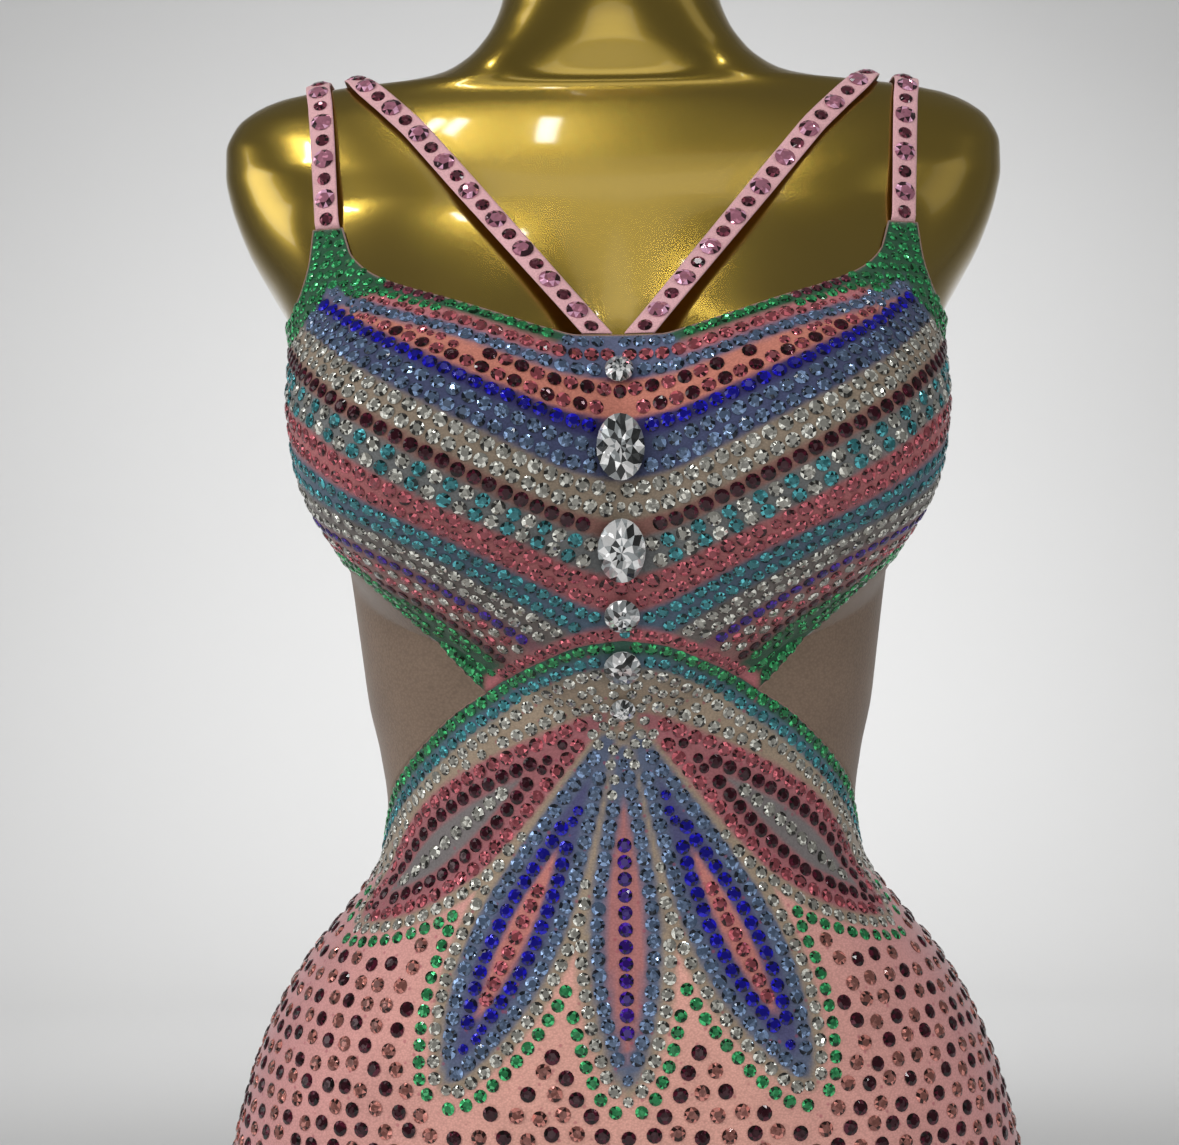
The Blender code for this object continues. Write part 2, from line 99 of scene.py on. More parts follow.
def away_of(angle):
    """The angle from the centre front, whichever side it is on."""
    return np.abs((np.asarray(angle, float) + 180) % 360 - 180)


def run_of(points, axis=0):
    """The length of the way from the first point to each, along one axis of the array."""
    steps = np.linalg.norm(np.diff(points, axis=axis), axis=-1)
    return np.insert(np.cumsum(steps, axis=axis), 0, 0.0, axis=axis)


def at_run(at, run, points):
    """The points, or directions, at these lengths of the way."""
    return np.stack([np.interp(at, run, column) for column in points.T], 1)


def bisected(is_below, low, high):
    """Where a test that holds below some place and fails above it changes."""
    for _ in range(BISECTIONS):
        middle = (low + high) / 2
        below = is_below(middle)
        low, high = np.where(below, middle, low), np.where(below, high, middle)
    return (low + high) / 2


# The surface of the body and of the cloth

CLOTH_GAP, CLOTH_WALL, SHEET_WALL = 0.9, 1.3, 0.5
STONE_SEAT = CLOTH_GAP + CLOTH_WALL
SHEET_MIDDLE = STONE_SEAT - SHEET_WALL / 2
HEM_HEIGHT = 45.0
NECK_TOP, NECK_HALF = 850.0, 45.0

# height, half width, front depth, back depth, exponent of the super-ellipse
SECTION_ROWS = (
    (0, 158, 84, 104, 2.6), (40, 166, 92, 114, 2.6), (100, 176, 102, 126, 2.5),
    (170, 183, 109, 134, 2.4), (230, 184, 112, 135, 2.3), (264, 181, 112, 131, 2.3),
    (286, 176, 111, 126, 2.3), (309, 169, 110, 120, 2.3), (332, 159, 107, 112, 2.3),
    (355, 145, 102, 102, 2.3), (379, 125, 96, 91, 2.3), (391, 116, 93, 86, 2.3),
    (402, 110, 91, 82, 2.2), (426, 107, 88, 77, 2.2), (450, 110, 87, 76, 2.2),
    (473, 115, 89, 78, 2.2), (496, 118, 92, 82, 2.2), (520, 121, 95, 86, 2.2),
    (543, 124, 98, 90, 2.2), (567, 127, 100, 94, 2.3), (590, 131, 100, 98, 2.3),
    (614, 137, 98, 100, 2.4), (638, 145, 93, 101, 2.4), (661, 158, 85, 100, 2.5),
    (685, 171, 75, 98, 2.6), (708, 179, 63, 92, 2.7), (720, 181, 56, 88, 2.8),
    (731, 181, 49, 83, 2.8), (743, 176, 41, 76, 2.8), (750, 168, 36, 71, 2.7),
    (755, 157, 32, 67, 2.7), (758, 144, 30.5, 64.5, 2.6), (760.5, 126, 30, 62.5, 2.5),
    (763, 100, 30.5, 61, 2.4), (767, 82, 32, 60.5, 2.3), (772, 72, 34, 61, 2.2),
    (778, 64.5, 36, 61.5, 2.1), (790, 55.5, 38, 62, 2.1), (802, 51, 39, 62.5, 2.0),
    (818, 48.5, 39.5, 63, 2.0), (840, 48, 39.5, 63.5, 2.0), (NECK_TOP, NECK_HALF, 36.5, 60.5, 2.0),
)
BUST_HEIGHT, BUST_ANGLE = 586.0, 35.0
BUST_SPREAD_IN, BUST_SPREAD_OUT, BUST_SPREAD_UP = 52.0, 50.0, 116.0
BUST_POWER_UP, BUST_POWER_DOWN = 1.8, 1.1
# How far the bust stands out, how far down it reaches, and how much of it bridges the middle
FORM_BUST = (60.0, 62.0, 0.0)
CLOTH_BUST_DEPTH, CLOTH_BRIDGE = 61.0, 0.35
# How far down the cloth keeps clear of the body under the bust, by angle
CLOTH_DOWN = ((0, 125), (BUST_ANGLE, 84), (90, 54))

section_at = smooth_table(SECTION_ROWS)


def body_point(angle, height, depth, down, bridge):
    angle, height = np.broadcast_arrays(np.asarray(angle, float), np.asarray(height, float))
    half, front, back, squareness = np.moveaxis(section_at(height), -1, 0)
    s, c = np.sin(np.radians(angle)), np.cos(np.radians(angle))
    deep = np.where(c > 0, front, back)
    power = 2 / squareness
    point = np.stack([half * signed_power(s, power), -deep * signed_power(c, power), height], -1)
    out = [signed_power(s, 2 - power) / half, -signed_power(c, 2 - power) / deep, 0 * height]
    off = away_of(angle) - BUST_ANGLE
    around = fade(off, np.where(off < 0, BUST_SPREAD_IN, BUST_SPREAD_OUT)) ** 2
    around = around + np.where(off < 0, (1 - around) * bridge, 0)
    rise = height - BUST_HEIGHT
    up = fade(rise, BUST_SPREAD_UP) ** BUST_POWER_UP
    low = fade(rise, down) ** BUST_POWER_DOWN
    amount = depth * around * np.where(rise > 0, up, low)
    return point + unit(np.stack(out, -1)) * amount[..., None]


def form_surface(angle, height):
    return body_point(angle, height, *FORM_BUST)


def cloth_surface(angle, height):
    down = np.interp(away_of(angle), *zip(*CLOTH_DOWN))
    return body_point(angle, height, CLOTH_BUST_DEPTH, down, CLOTH_BRIDGE)


def slopes(surface, angle, height):
    """How the surface moves for each degree round it and each millimetre up."""
    turn = surface(angle + 0.5, height) - surface(angle - 0.5, height)
    return turn, surface(angle, height + 0.5) - surface(angle, height - 0.5)


def normal_at(surface, angle, height):
    return unit(np.cross(*slopes(surface, angle, height)))


def lifted(angle, height, out, surface=cloth_surface):
    """Points that stand a distance outside the surface."""
    return surface(angle, height) + normal_at(surface, angle, height) * out


def angle_at(x, height, surface=cloth_surface, behind=False):
    """The angle at which the front of the surface, or its back, has this x."""
    turned = bisected(lambda t: surface(180 - t if behind else t, height)[..., 0] < x, 0.0, 90.0)
    return 180 - turned if behind else turned


# Lengths along the cloth, charted by angle and height

CHART_STEP = 0.5
CHART_ANGLES = np.arange(0, 180.25, CHART_STEP)
CHART_HEIGHTS = np.arange(40, 702, 1.0)
# A chart is read up to this far short of its number of entries
CHART_END = 1.001
chart_points = cloth_surface(CHART_ANGLES[:, None], CHART_HEIGHTS[None, :])
chart_up, chart_round = run_of(chart_points, 1), run_of(chart_points, 0)


def read_chart(chart, angle, height, lowest=CHART_HEIGHTS[0], step=1.0):
    """A chart's value between its entries. Outside it, its ends count."""
    a = np.clip(np.abs(angle) / CHART_STEP, 0, chart.shape[0] - CHART_END)
    h = np.clip((height - lowest) / step, 0, chart.shape[1] - CHART_END)
    i, j = a.astype(int), h.astype(int)
    s, t = a - i, h - j
    low = chart[i, j] * (1 - t) + chart[i, j + 1] * t
    high = chart[i + 1, j] * (1 - t) + chart[i + 1, j + 1] * t
    return low * (1 - s) + high * s


def rise_at(angle, height, reference):
    """The length of cloth straight up from a reference height."""
    return read_chart(chart_up, angle, height) - read_chart(chart_up, angle, reference)


def height_at_rise(angle, rise, reference):
    return bisected(
        lambda h: rise_at(angle, h, reference) < rise, CHART_HEIGHTS[0] + 1, CHART_HEIGHTS[-1] - 1
    )


def round_at(angle, height):
    """The length of cloth round from the centre front."""
    return read_chart(chart_round, angle, height)


def angle_at_round(length, height):
    return bisected(lambda a: round_at(a, height) < length, 0.0, 180.0)


# The edges of the pieces: x and height at the front, angle and height at the sides and the back

SIDE = 97.5
HORN_HEIGHT = 686.0
BAND_TOP, BAND_BOTTOM = 641, 547
NECKLINE = (
    (0, 632), (17, 632), (30, 635), (44, 639.5), (69, 648), (90, 655), (105, 662),
    (114, 670), (118, 677), (120.5, HORN_HEIGHT),
)
ARMHOLE = ((133.5, HORN_HEIGHT), (134.5, 668), (138, 655), (143, 647), (150, 643))
WAIST_SEAM = ((0, 505), (17, 503), (34, 496.5), (48, 489), (58.5, 481.5))
UPPER_CUTOUT = ((58.5, 481.5), (69, 492), (79, 503), (92, 515.5), (103, 526), (114, 536))
LOWER_CUTOUT = ((58.5, 481.5), (70, 474), (83, 462), (95, 448), (103, 434))
ARMHOLE_SIDE = ((88, BAND_TOP), (SIDE, BAND_TOP))
UPPER_CUTOUT_SIDE = ((86, 544), (SIDE, BAND_BOTTOM))
LOWER_CUTOUT_SIDE = ((84, 420), (93, 408), (SIDE, 402))
BACK_TOP = ((SIDE, BAND_TOP), (125, 638), (150, 631), (180, 627))
BACK_BAND_BOTTOM = ((SIDE, BAND_BOTTOM), (140, 552), (180, 556))
BACK_SKIRT_TOP = ((SIDE, 402), (130, 393), (180, 393))


def by_angle(rows, further=()):
    return [(float(angle_at(x, height)), height) for x, height in rows] + list(further)


def joined_edge(*parts):
    """An edge's height by angle, from tables that each take over at their first angle."""
    tables = [(rows[0][0], smooth_table(rows)) for rows in parts]

    def edge(angle):
        away = away_of(angle)
        height = tables[0][1](away)
        for start, table in tables[1:]:
            height = np.where(away > start, table(away), height)
        return height

    return edge


neckline, armhole = by_angle(NECKLINE), by_angle(ARMHOLE, ARMHOLE_SIDE)
seam = by_angle(WAIST_SEAM)
HORN_INNER, HORN_OUTER, TIP = neckline[-1][0], armhole[0][0], seam[-1][0]
horn = ((HORN_INNER, HORN_HEIGHT), (HORN_OUTER, HORN_HEIGHT))
bodice_top = joined_edge(neckline, horn, armhole, BACK_TOP)
bodice_bottom = joined_edge(seam, by_angle(UPPER_CUTOUT, UPPER_CUTOUT_SIDE), BACK_BAND_BOTTOM)
skirt_top = joined_edge(seam, by_angle(LOWER_CUTOUT, LOWER_CUTOUT_SIDE), BACK_SKIRT_TOP)


def hem(angle):
    return np.full(np.shape(angle), HEM_HEIGHT)


# The camera, the floor and the light

FOCAL_LENGTH, SENSOR_WIDTH, NEAR_CLIP = 74.7, 36.0, 0.05
CAMERA_PLACE, CAMERA_ROLL = (-0.0135, -1.150, 0.5333), 0.75

FLOOR_FRONT, FLOOR_BACK, FLOOR_HALF = -6.0, 2.7, 6.0
CURVE_RADIUS, CURVE_STEPS, WALL_TOP = 0.8, 16, 4.0

WORLD_COLOUR, WORLD_STRENGTH = (0.60, 0.60, 0.58, 1), 0.23
# Name, place, where it points, width and height, watts, spread in degrees, whether things mirror it
LIGHTS = (
    ("softbox_left", (-1.7, -0.9, 1.5), (0, 0, 0.6), (1.1, 1.1), 23, 180, False),
    ("softbox_front", (-0.35, -1.9, 1.9), (0, 0, 0.55), (1.3, 0.6), 17, 180, False),
    ("fill_right", (1.8, -1.3, 1.1), (0, 0, 0.5), (0.8, 1.2), 15.5, 180, False),
    ("card_left", (-2.03, -0.45, 1.2), (0, 0, 0.7), (0.8, 1.3), 6, 180, True),
    ("card_right", (1.77, -0.79, 1.63), (0, 0, 0.7), (0.6, 0.8), 0.5, 180, True),
    ("card_above_wide", (0.0, -0.8, 2.23), (0, 0, 0.7), (0.9, 0.5), 0.55, 180, True),
    ("card_above", (0.0, -0.8, 2.2), (0, 0, 0.7), (0.5, 0.25), 0.2, 180, True),
    ("card_low", (0.0, -1.8, 0.5), (0, 0, 0.78), (0.8, 0.7), 1.6, 180, True),
    ("card_joint", (-0.08, -1.5, 1.95), (0, 0, 0.76), (0.5, 0.2), 0.4, 180, True),
    ("pane_1", (-0.34, -0.46, 2.5), (0, 0, 0.7), (0.035, 0.11), 0.3, 180, True),
    ("pane_2", (-0.28, -0.46, 2.5), (0, 0, 0.7), (0.035, 0.11), 0.3, 180, True),
    ("pane_3", (-0.08, -0.46, 2.5), (0, 0, 0.7), (0.035, 0.11), 0.3, 180, True),
    ("pane_4", (0.44, -0.86, 2.39), (0, 0, 0.7), (0.04, 0.04), 0.18, 180, True),
    ("window_1", (-1.06, -0.68, 2.3), (0, 0, 0.72), (0.04, 0.22), 1.0, 180, True),
    ("window_2", (-0.98, -0.68, 2.3), (0, 0, 0.72), (0.04, 0.22), 1.0, 180, True),
    ("window_right", (0.95, -1.2, 1.8), (0, 0, 0.72), (0.06, 0.16), 1.0, 180, True),
    ("wall", (0, 0.9, 1.3), (0, 2.7, 0.3), (1.8, 0.5), 12, 110, True),
    ("rear", (0.9, 1.9, 2.2), (0, 0, 0.5), (1.2, 0.9), 9, 180, False),
)


def link_object(name, data):
    obj = bpy.data.objects.new(name, data)
    bpy.context.scene.collection.objects.link(obj)
    return obj


def build_camera():
    camera = link_object("camera", bpy.data.cameras.new("camera"))
    camera.data.lens = FOCAL_LENGTH
    camera.data.sensor_width = SENSOR_WIDTH
    camera.data.clip_start = NEAR_CLIP
    camera.location = CAMERA_PLACE
    camera.rotation_euler = (math.radians(90), math.radians(CAMERA_ROLL), 0)
    bpy.context.scene.camera = camera
    bpy.context.scene.view_settings.view_transform = "Standard"


def build_light():
    world = bpy.data.worlds.new("studio")
    world.use_nodes = True
    put(world.node_tree.nodes["Background"], {"Color": WORLD_COLOUR, "Strength": WORLD_STRENGTH})
    bpy.context.scene.world = world
    for name, place, aim, size, watts, light_spread, mirrored in LIGHTS:
        data = bpy.data.lights.new(name, "AREA")
        data.shape = "RECTANGLE"
        data.size, data.size_y = size
        data.energy = watts
        data.spread = math.radians(light_spread)
        light = link_object(name, data)
        light.visible_glossy = mirrored
        light.location = place
        towards = np.array(aim) - np.array(place)
        pitch = math.atan2(-towards[2], math.hypot(*towards[:2]))
        turn = math.atan2(-towards[0], towards[1])
        light.rotation_euler = (math.radians(90) - pitch, 0, turn)


def build_stage():
    """A pale floor that curves up into a pale wall well behind the form."""
    line = [(FLOOR_FRONT, 0.0), (FLOOR_BACK - CURVE_RADIUS, 0.0)]
    for k in range(1, CURVE_STEPS + 1):
        turn = math.pi / 2 * k / CURVE_STEPS
        y = FLOOR_BACK - CURVE_RADIUS + CURVE_RADIUS * math.sin(turn)
        line.append((y, CURVE_RADIUS * (1 - math.cos(turn))))
    line.append((FLOOR_BACK, WALL_TOP))
    points = [(side * FLOOR_HALF, y, z) for y, z in line for side in (-1, 1)]
    faces = [(2 * k, 2 * k + 1, 2 * k + 3, 2 * k + 2) for k in range(len(line) - 1)]
    mesh = bpy.data.meshes.new("floor")
    mesh.from_pydata(points, [], faces)
    mesh.shade_smooth()
    material, tree, shader = shader_of("pale_floor")
    noise = add_node(tree, "TexNoise", {"Scale": 3.0, "Detail": 2.0})
    shade = add_node(tree, "MapRange", {"Value": noise.outputs["Fac"], "To Min": 0.6, "To Max": 0.68})
    tone = add_node(tree, "CombineColor", dict.fromkeys(("Red", "Green", "Blue"), shade.outputs["Result"]))
    put(shader, {"Base Color": tone.outputs["Color"], "Roughness": 0.9})
    mesh.materials.append(material)
    link_object("floor", mesh)


# Materials

# Colours here and in all tables below are screen values from 0 to 255
GOLD_TINTS = ((186, 156, 64), (204, 174, 78))
RIBBON_COLOUR, NET_COLOUR, SPECK_COLOUR = (214, 166, 170), (132, 112, 96), (150, 62, 84)
EDGE_COLOUR, THREAD_COLOUR = (140, 112, 102), (214, 160, 146)
# Places of a Mix node's sockets for colours, which share their names with those for numbers
MIX_SHARE, MIX_A, MIX_B, MIX_RESULT = 0, 6, 7, 2


def linear(rgb):
    """Linear colour from screen values."""
    c = np.array(rgb, float) / 255
    return np.where(c <= 0.04045, c / 12.92, ((c + 0.055) / 1.055) ** 2.4)


def put(node, inputs):
    """Sets a node's inputs by name or place: another node's output is linked, the rest are values."""
    for key, value in inputs.items():
        if isinstance(value, bpy.types.NodeSocket):
            node.id_data.links.new(value, node.inputs[key])
        else:
            node.inputs[key].default_value = value


def add_node(tree, kind, inputs=None, **settings):
    node = tree.nodes.new("ShaderNode" + kind)
    for name, value in settings.items():
        setattr(node, name, value)
    put(node, inputs or {})
    return node


def shader_of(name):
    """A new material, its node tree and its Principled shader."""
    material = bpy.data.materials.new(name)
    material.use_nodes = True
    return material, material.node_tree, material.node_tree.nodes["Principled BSDF"]


def gold_material():
    """Lacquered gold: a metal faintly uneven in tint, roughness and surface, under a clear coat."""
    material, tree, shader = shader_of("form_gold")
    place = add_node(tree, "TexCoord").outputs["Object"]
    broad = add_node(tree, "TexNoise", {"Vector": place, "Scale": 9.0, "Detail": 3.0, "Roughness": 0.55})
    fine = add_node(tree, "TexNoise", {"Vector": place, "Scale": 420.0, "Detail": 2.0})
    tint = add_node(tree, "ValToRGB", {"Fac": broad.outputs["Fac"]})
    for element, colour in zip(tint.color_ramp.elements, GOLD_TINTS):
        element.color = (*linear(colour), 1)
    rough = add_node(tree, "MapRange", {"Value": broad.outputs["Fac"], "To Min": 0.2, "To Max": 0.28})
    bump = add_node(tree, "Bump", {"Height": fine.outputs["Fac"], "Strength": 0.02, "Distance": 0.0002})
    put(shader, {
        "Base Color": tint.outputs["Color"], "Metallic": 1.0, "Roughness": rough.outputs["Result"],
        "Normal": bump.outputs["Normal"], "Coat Weight": 0.75, "Coat Roughness": 0.05,
    })
    return material


def cloth_material(name, colour=None, alpha=1.0, specks=0.0, sheen=0.2, knit=950.0):
    """Fine stretch knit. Its dye comes from the mesh's print colours, or is one colour."""
    material, tree, shader = shader_of(name)
    place = add_node(tree, "TexCoord").outputs["Object"]
    mapping = add_node(tree, "Mapping", {"Vector": place, "Scale": (knit, knit, knit * 1.3)})
    cells = add_node(tree, "TexVoronoi", {"Vector": mapping.outputs["Vector"], "Scale": 1.0})
    loops = cells.outputs["Distance"]
    cloud = add_node(tree, "TexNoise", {"Vector": place, "Scale": 28.0, "Detail": 4.0})
    shade = add_node(tree, "MapRange", {
        "Value": cloud.outputs["Fac"], "From Min": 0.2, "From Max": 0.8, "To Min": 0.86, "To Max": 1.1,
    })
    weave = add_node(tree, "MapRange", {"Value": loops, "From Max": 0.8, "To Min": 1.08, "To Max": 0.78})
    factors = {0: shade.outputs["Result"], 1: weave.outputs["Result"]}
    both = add_node(tree, "Math", factors, operation="MULTIPLY")
    if colour is None:
        dye = add_node(tree, "Attribute", attribute_name="print").outputs["Color"]
    else:
        dye = linear(colour)
    shaded = add_node(tree, "VectorMath", {0: dye, "Scale": both.outputs["Value"]}, operation="SCALE")
    final = shaded.outputs["Vector"]
    if specks:
        dots = add_node(tree, "TexVoronoi", {"Vector": place, "Scale": 190.0})
        spot = add_node(tree, "MapRange", {
            "Value": dots.outputs["Distance"], "From Min": 0.1, "From Max": 0.2,
            "To Min": specks, "To Max": 0.0,
        })
        mixed = {MIX_SHARE: spot.outputs["Result"], MIX_A: final, MIX_B: (*linear(SPECK_COLOUR), 1)}
        final = add_node(tree, "Mix", mixed, data_type="RGBA").outputs[MIX_RESULT]
    bump = add_node(tree, "Bump", {"Height": loops, "Strength": 0.35, "Distance": 0.0003})
    put(shader, {
        "Base Color": final, "Normal": bump.outputs["Normal"], "Roughness": 0.62, "Alpha": alpha,
        "Sheen Weight": sheen, "Sheen Roughness": 0.4, "Specular IOR Level": 0.3,
    })
    return material


# Stones: colour, how far the inner facets tilt, roughness, and how metallic the foil is
STONE_KINDS = {
    "crystal": ((206, 204, 194), 0.36, 0.07, 0.6),
    "green": ((60, 170, 104), 0.36, 0.08, 0.55),
    "aqua": ((72, 156, 164), 0.34, 0.08, 0.55),
    "sapphire": ((122, 146, 182), 0.36, 0.07, 0.6),
    "cobalt": ((14, 8, 160), 0.06, 0.14, 0.3),
    "violet": ((54, 10, 132), 0.06, 0.14, 0.3),
    "maroon": ((64, 8, 28), 0.12, 0.10, 0.4),
    "rose": ((192, 98, 108), 0.34, 0.08, 0.55),
    "blush": ((186, 120, 110), 0.34, 0.08, 0.55),
    "strap_pink": ((232, 152, 178), 0.42, 0.08, 0.5),
    "dark_rose": ((118, 56, 72), 0.24, 0.08, 0.5),
    "gem": ((214, 220, 222), 0.3, 0.04, 0.6),
}
# How bright each facet is painted, as painted dark reflections and glints of the foil, and how often each
# is drawn, in small stones and in the large crystals
FACET_PAINTED_SHADES = (("deep", 0.06), ("mid", 0.55), ("bright", 1.6))
FACET_PAINTED_SHARES, GEM_PAINTED_SHARES = (0.3, 0.42, 0.28), (0.2, 0.45, 0.35)
# Which painted shade a stone's table has, and the brightest that a painted colour gets
TABLE_PAINTED_SHADE, BRIGHTEST = 1, 0.95
# Inner facets to the metre, in most stones and in the larger ones
FACET_SCALE, LARGE_FACET_SCALES = 620.0, {"gem": 190.0, "strap_pink": 600.0}


def stone_material(kind, shade, strength):
    """Foil-backed glass: small inner facets under a clear polished front."""
    colour, tilt, rough, metallic = STONE_KINDS[kind]
    material, tree, shader = shader_of(f"stone_{kind}_{shade}")

    def vector(operation, inputs):
        return add_node(tree, "VectorMath", inputs, operation=operation).outputs["Vector"]

    place = add_node(tree, "TexCoord").outputs["Object"]
    scale = LARGE_FACET_SCALES.get(kind, FACET_SCALE)
    cells = add_node(tree, "TexVoronoi", {"Vector": place, "Scale": scale}).outputs["Color"]
    lean = vector("SCALE", {0: vector("SUBTRACT", {0: cells, 1: (0.5, 0.5, 0.5)}), "Scale": 2 * tilt})
    tilted = vector("ADD", {0: add_node(tree, "NewGeometry").outputs["Normal"], 1: lean})
    # The stone's colour painted darker or brighter for this facet: painted dark reflections and glints
    tone = np.minimum(linear(colour) * strength, BRIGHTEST)
    put(shader, {
        "Normal": vector("NORMALIZE", {0: tilted}), "Base Color": (*tone, 1), "Metallic": metallic,
        "Roughness": rough, "Coat Weight": 0.4, "Coat Roughness": 0.03,
    })
    return material


stone_materials = [
    stone_material(kind, shade, strength)
    for kind in STONE_KINDS
    for shade, strength in FACET_PAINTED_SHADES
]


# Meshes

def flat_faces(faces):
    """The corners of all faces in one row, and how many each face has."""
    return np.concatenate([np.asarray(face) for face in faces]), np.array([len(face) for face in faces])


def make_object(name, points, faces, materials, smooth=True, face_material=None):
    """An object from points in millimetres, riding on the part's one body. Faces are a list of
    corners, an array of quads, or what flat_faces gives."""
    mesh = bpy.data.meshes.new(name)
    corners, sizes = faces if isinstance(faces, tuple) else flat_faces(faces)
    mesh.vertices.add(len(points))
    mesh.vertices.foreach_set("co", (np.asarray(points) * MM).astype(np.float32).ravel())
    mesh.loops.add(len(corners))
    mesh.loops.foreach_set("vertex_index", corners.astype(np.int32))
    mesh.polygons.add(len(sizes))
    starts = np.concatenate([[0], np.cumsum(sizes)[:-1]]).astype(np.int32)
    mesh.polygons.foreach_set("loop_start", starts)
    for material in materials:
        mesh.materials.append(material)
    if face_material is not None:
        mesh.polygons.foreach_set("material_index", np.asarray(face_material, np.int32))
    mesh.polygons.foreach_set("use_smooth", np.full(len(sizes), smooth))
    mesh.update()
    mesh.validate()
    obj = link_object(name, mesh)
    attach(obj, "root")
    return obj


def grid_faces(rows, columns, closed=False):
    """Quads of a grid of points stored row by row. A closed grid joins its last column to its first."""
    r, c = np.meshgrid(np.arange(rows - 1), np.arange(columns - (not closed)), indexing="ij")
    r, c = r.ravel(), c.ravel()
    onward = (c + 1) % columns
    low, high = r * columns, (r + 1) * columns
    return np.stack([low + c, low + onward, high + onward, high + c], 1)


def capped_faces(rows, columns):
    """Quads of a closed grid, and a face over each of its ends."""
    last = (rows - 1) * columns
    sides = [tuple(face) for face in grid_faces(rows, columns, closed=True)]
    return sides + [tuple(range(columns))[::-1], tuple(range(last, last + columns))]


def spread(*stops):
    """Numbers from stop to stop, (value, step) each, every stop among them."""
    numbers = [stops[0][0]]
    for (start, step), (end, _) in zip(stops, stops[1:]):
        count = max(1, round((end - start) / step))
        numbers += list(np.linspace(start, end, count + 1)[1:])
    return np.array(numbers)


def add_wall(piece, thickness):
    wall = piece.modifiers.new("wall", "SOLIDIFY")
    wall.thickness = thickness * MM
    wall.offset = 0


def ring(count, radius, height, turned=0.0):
    turn = 2 * np.pi * (np.arange(count) + turned) / count
    return np.stack([radius * np.cos(turn), radius * np.sin(turn), 0 * turn + height], 1)


def belt(low, high, count):
    """Quads between two rings, each given by its first point."""
    return [(low + k, low + (k + 1) % count, high + (k + 1) % count, high + k) for k in range(count)]


# The dress form

FORM_ANGLE_STEP = 2.5
# Heights on the form, and how far apart its rings are from there on
FORM_HEIGHTS = ((0, 6), (700, 2.5), (790, 4))
# How far the neck's rim is rounded over, in how many steps, and the angle from which an edge is sharp
RIM, RIM_STEPS, CREASE = 4.0, 6, 50


def build_form():
    """The gold form with a flat base and a neck cut level, its rim rounded over."""
    angles = np.arange(0, 360, FORM_ANGLE_STEP)
    rings = [form_surface(angles, height) for height in spread(*FORM_HEIGHTS, (NECK_TOP - RIM, 1))]
    below = rings[-1]
    middle = below.mean(axis=0)
    for turn in math.pi / 2 * np.arange(1, RIM_STEPS + 1) / RIM_STEPS:
        rounded = middle + (below - middle) * (1 - RIM * (1 - math.cos(turn)) / NECK_HALF)
        rounded[:, 2] = NECK_TOP - RIM + RIM * math.sin(turn)
        rings.append(rounded)
    faces = capped_faces(len(rings), len(angles))
    form = make_object("gold_form", np.concatenate(rings), faces, [gold_material()])
    form.data.set_sharp_from_angle(angle=math.radians(CREASE))
    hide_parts("dress_form")


# Setting stones

# Radii of the usual stones, how far they sink into the cloth, and how unevenly they are glued on
MEDIUM, SMALL = 3.2, 2.75
SEATED, JITTER, TILT_JITTER = 0.05, 0.12, 0.05
# A stone whose rim comes nearer to the centre line than CENTRAL has none opposite, and one whose
# middle comes nearer than ON_CENTRE is set right on the line
CENTRAL, ON_CENTRE = 0.6, 1.0
# The size of the cells in which stones look for their neighbours
CELL = 14.0
# A stone of radius 1: sides of its girdle, radius of its table and back, height of table and girdle
GIRDLE_SIDES, TABLE, BACK, CROWN, GIRDLE = 12, 0.56, 0.95, 0.34, 0.12
# Points along an edge or a row, the pitch at which edges are read, and the steps that lines move in
EDGE_SAMPLES, LINE_SAMPLES = 1500, 400
EDGE_PITCH, INSET_STEP = 0.5, 3.0
# Distances are measured for this many points at a time
CHUNK = 400
# A staggered row's distance from the next, as a share of the spacing
STAGGER = 0.866


def stone_shape():
    """A round stone of radius 1 with a flat back: its points and faces, the table first."""
    half = GIRDLE_SIDES // 2
    points = np.concatenate([
        ring(half, TABLE, CROWN), ring(GIRDLE_SIDES, 1.0, GIRDLE), ring(GIRDLE_SIDES, BACK, 0),
    ])
    faces = [tuple(range(half))]
    for k in range(half):
        after = (k + 1) % half
        left, middle, right = (half + (2 * k + j) % GIRDLE_SIDES for j in range(3))
        faces += [(k, left, middle), (k, middle, after), (after, middle, right)]
    faces += belt(half + GIRDLE_SIDES, half, GIRDLE_SIDES)
    faces.append(tuple(range(half + GIRDLE_SIDES, half + 2 * GIRDLE_SIDES))[::-1])
    return points, faces


def stones_mesh(name, stones):
    """One joined mesh of (point, normal, along, radius, kind) stones."""
    points, faces = stone_shape()
    corners, sizes = flat_faces(faces)
    centre, normal, along, radius, kinds = zip(*stones)
    centre, normal, along = np.array(centre), np.array(normal), np.array(along)
    normal = unit(normal + rng.normal(0, TILT_JITTER, centre.shape))
    turn = rng.uniform(0, 2 * np.pi, len(stones))[:, None]
    along = unit(along - normal * np.sum(along * normal, axis=1, keepdims=True))
    first = along * np.cos(turn) + np.cross(normal, along) * np.sin(turn)
    axes = np.stack([first, np.cross(normal, first), normal], 1)
    placed = centre[:, None, :] + np.array(radius)[:, None, None] * np.einsum("pk,skj->spj", points, axes)
    # Each facet takes a painted shade at random, as painted dark reflections and glints; the table takes
    # the mid one
    shades = rng.choice(len(FACET_PAINTED_SHADES), (len(stones), len(faces)), p=FACET_PAINTED_SHARES)
    shades[:, 0] = TABLE_PAINTED_SHADE
    kinds = np.array([list(STONE_KINDS).index(kind) for kind in kinds])
    index = kinds[:, None] * len(FACET_PAINTED_SHADES) + shades
    used = np.unique(index)
    all_corners = (corners[None, :] + len(points) * np.arange(len(stones))[:, None]).ravel()
    make_object(
        name, placed.reshape(-1, 3), (all_corners, np.tile(sizes, len(stones))),
        [stone_materials[k] for k in used], smooth=False,
        face_material=np.searchsorted(used, index).ravel(),
    )


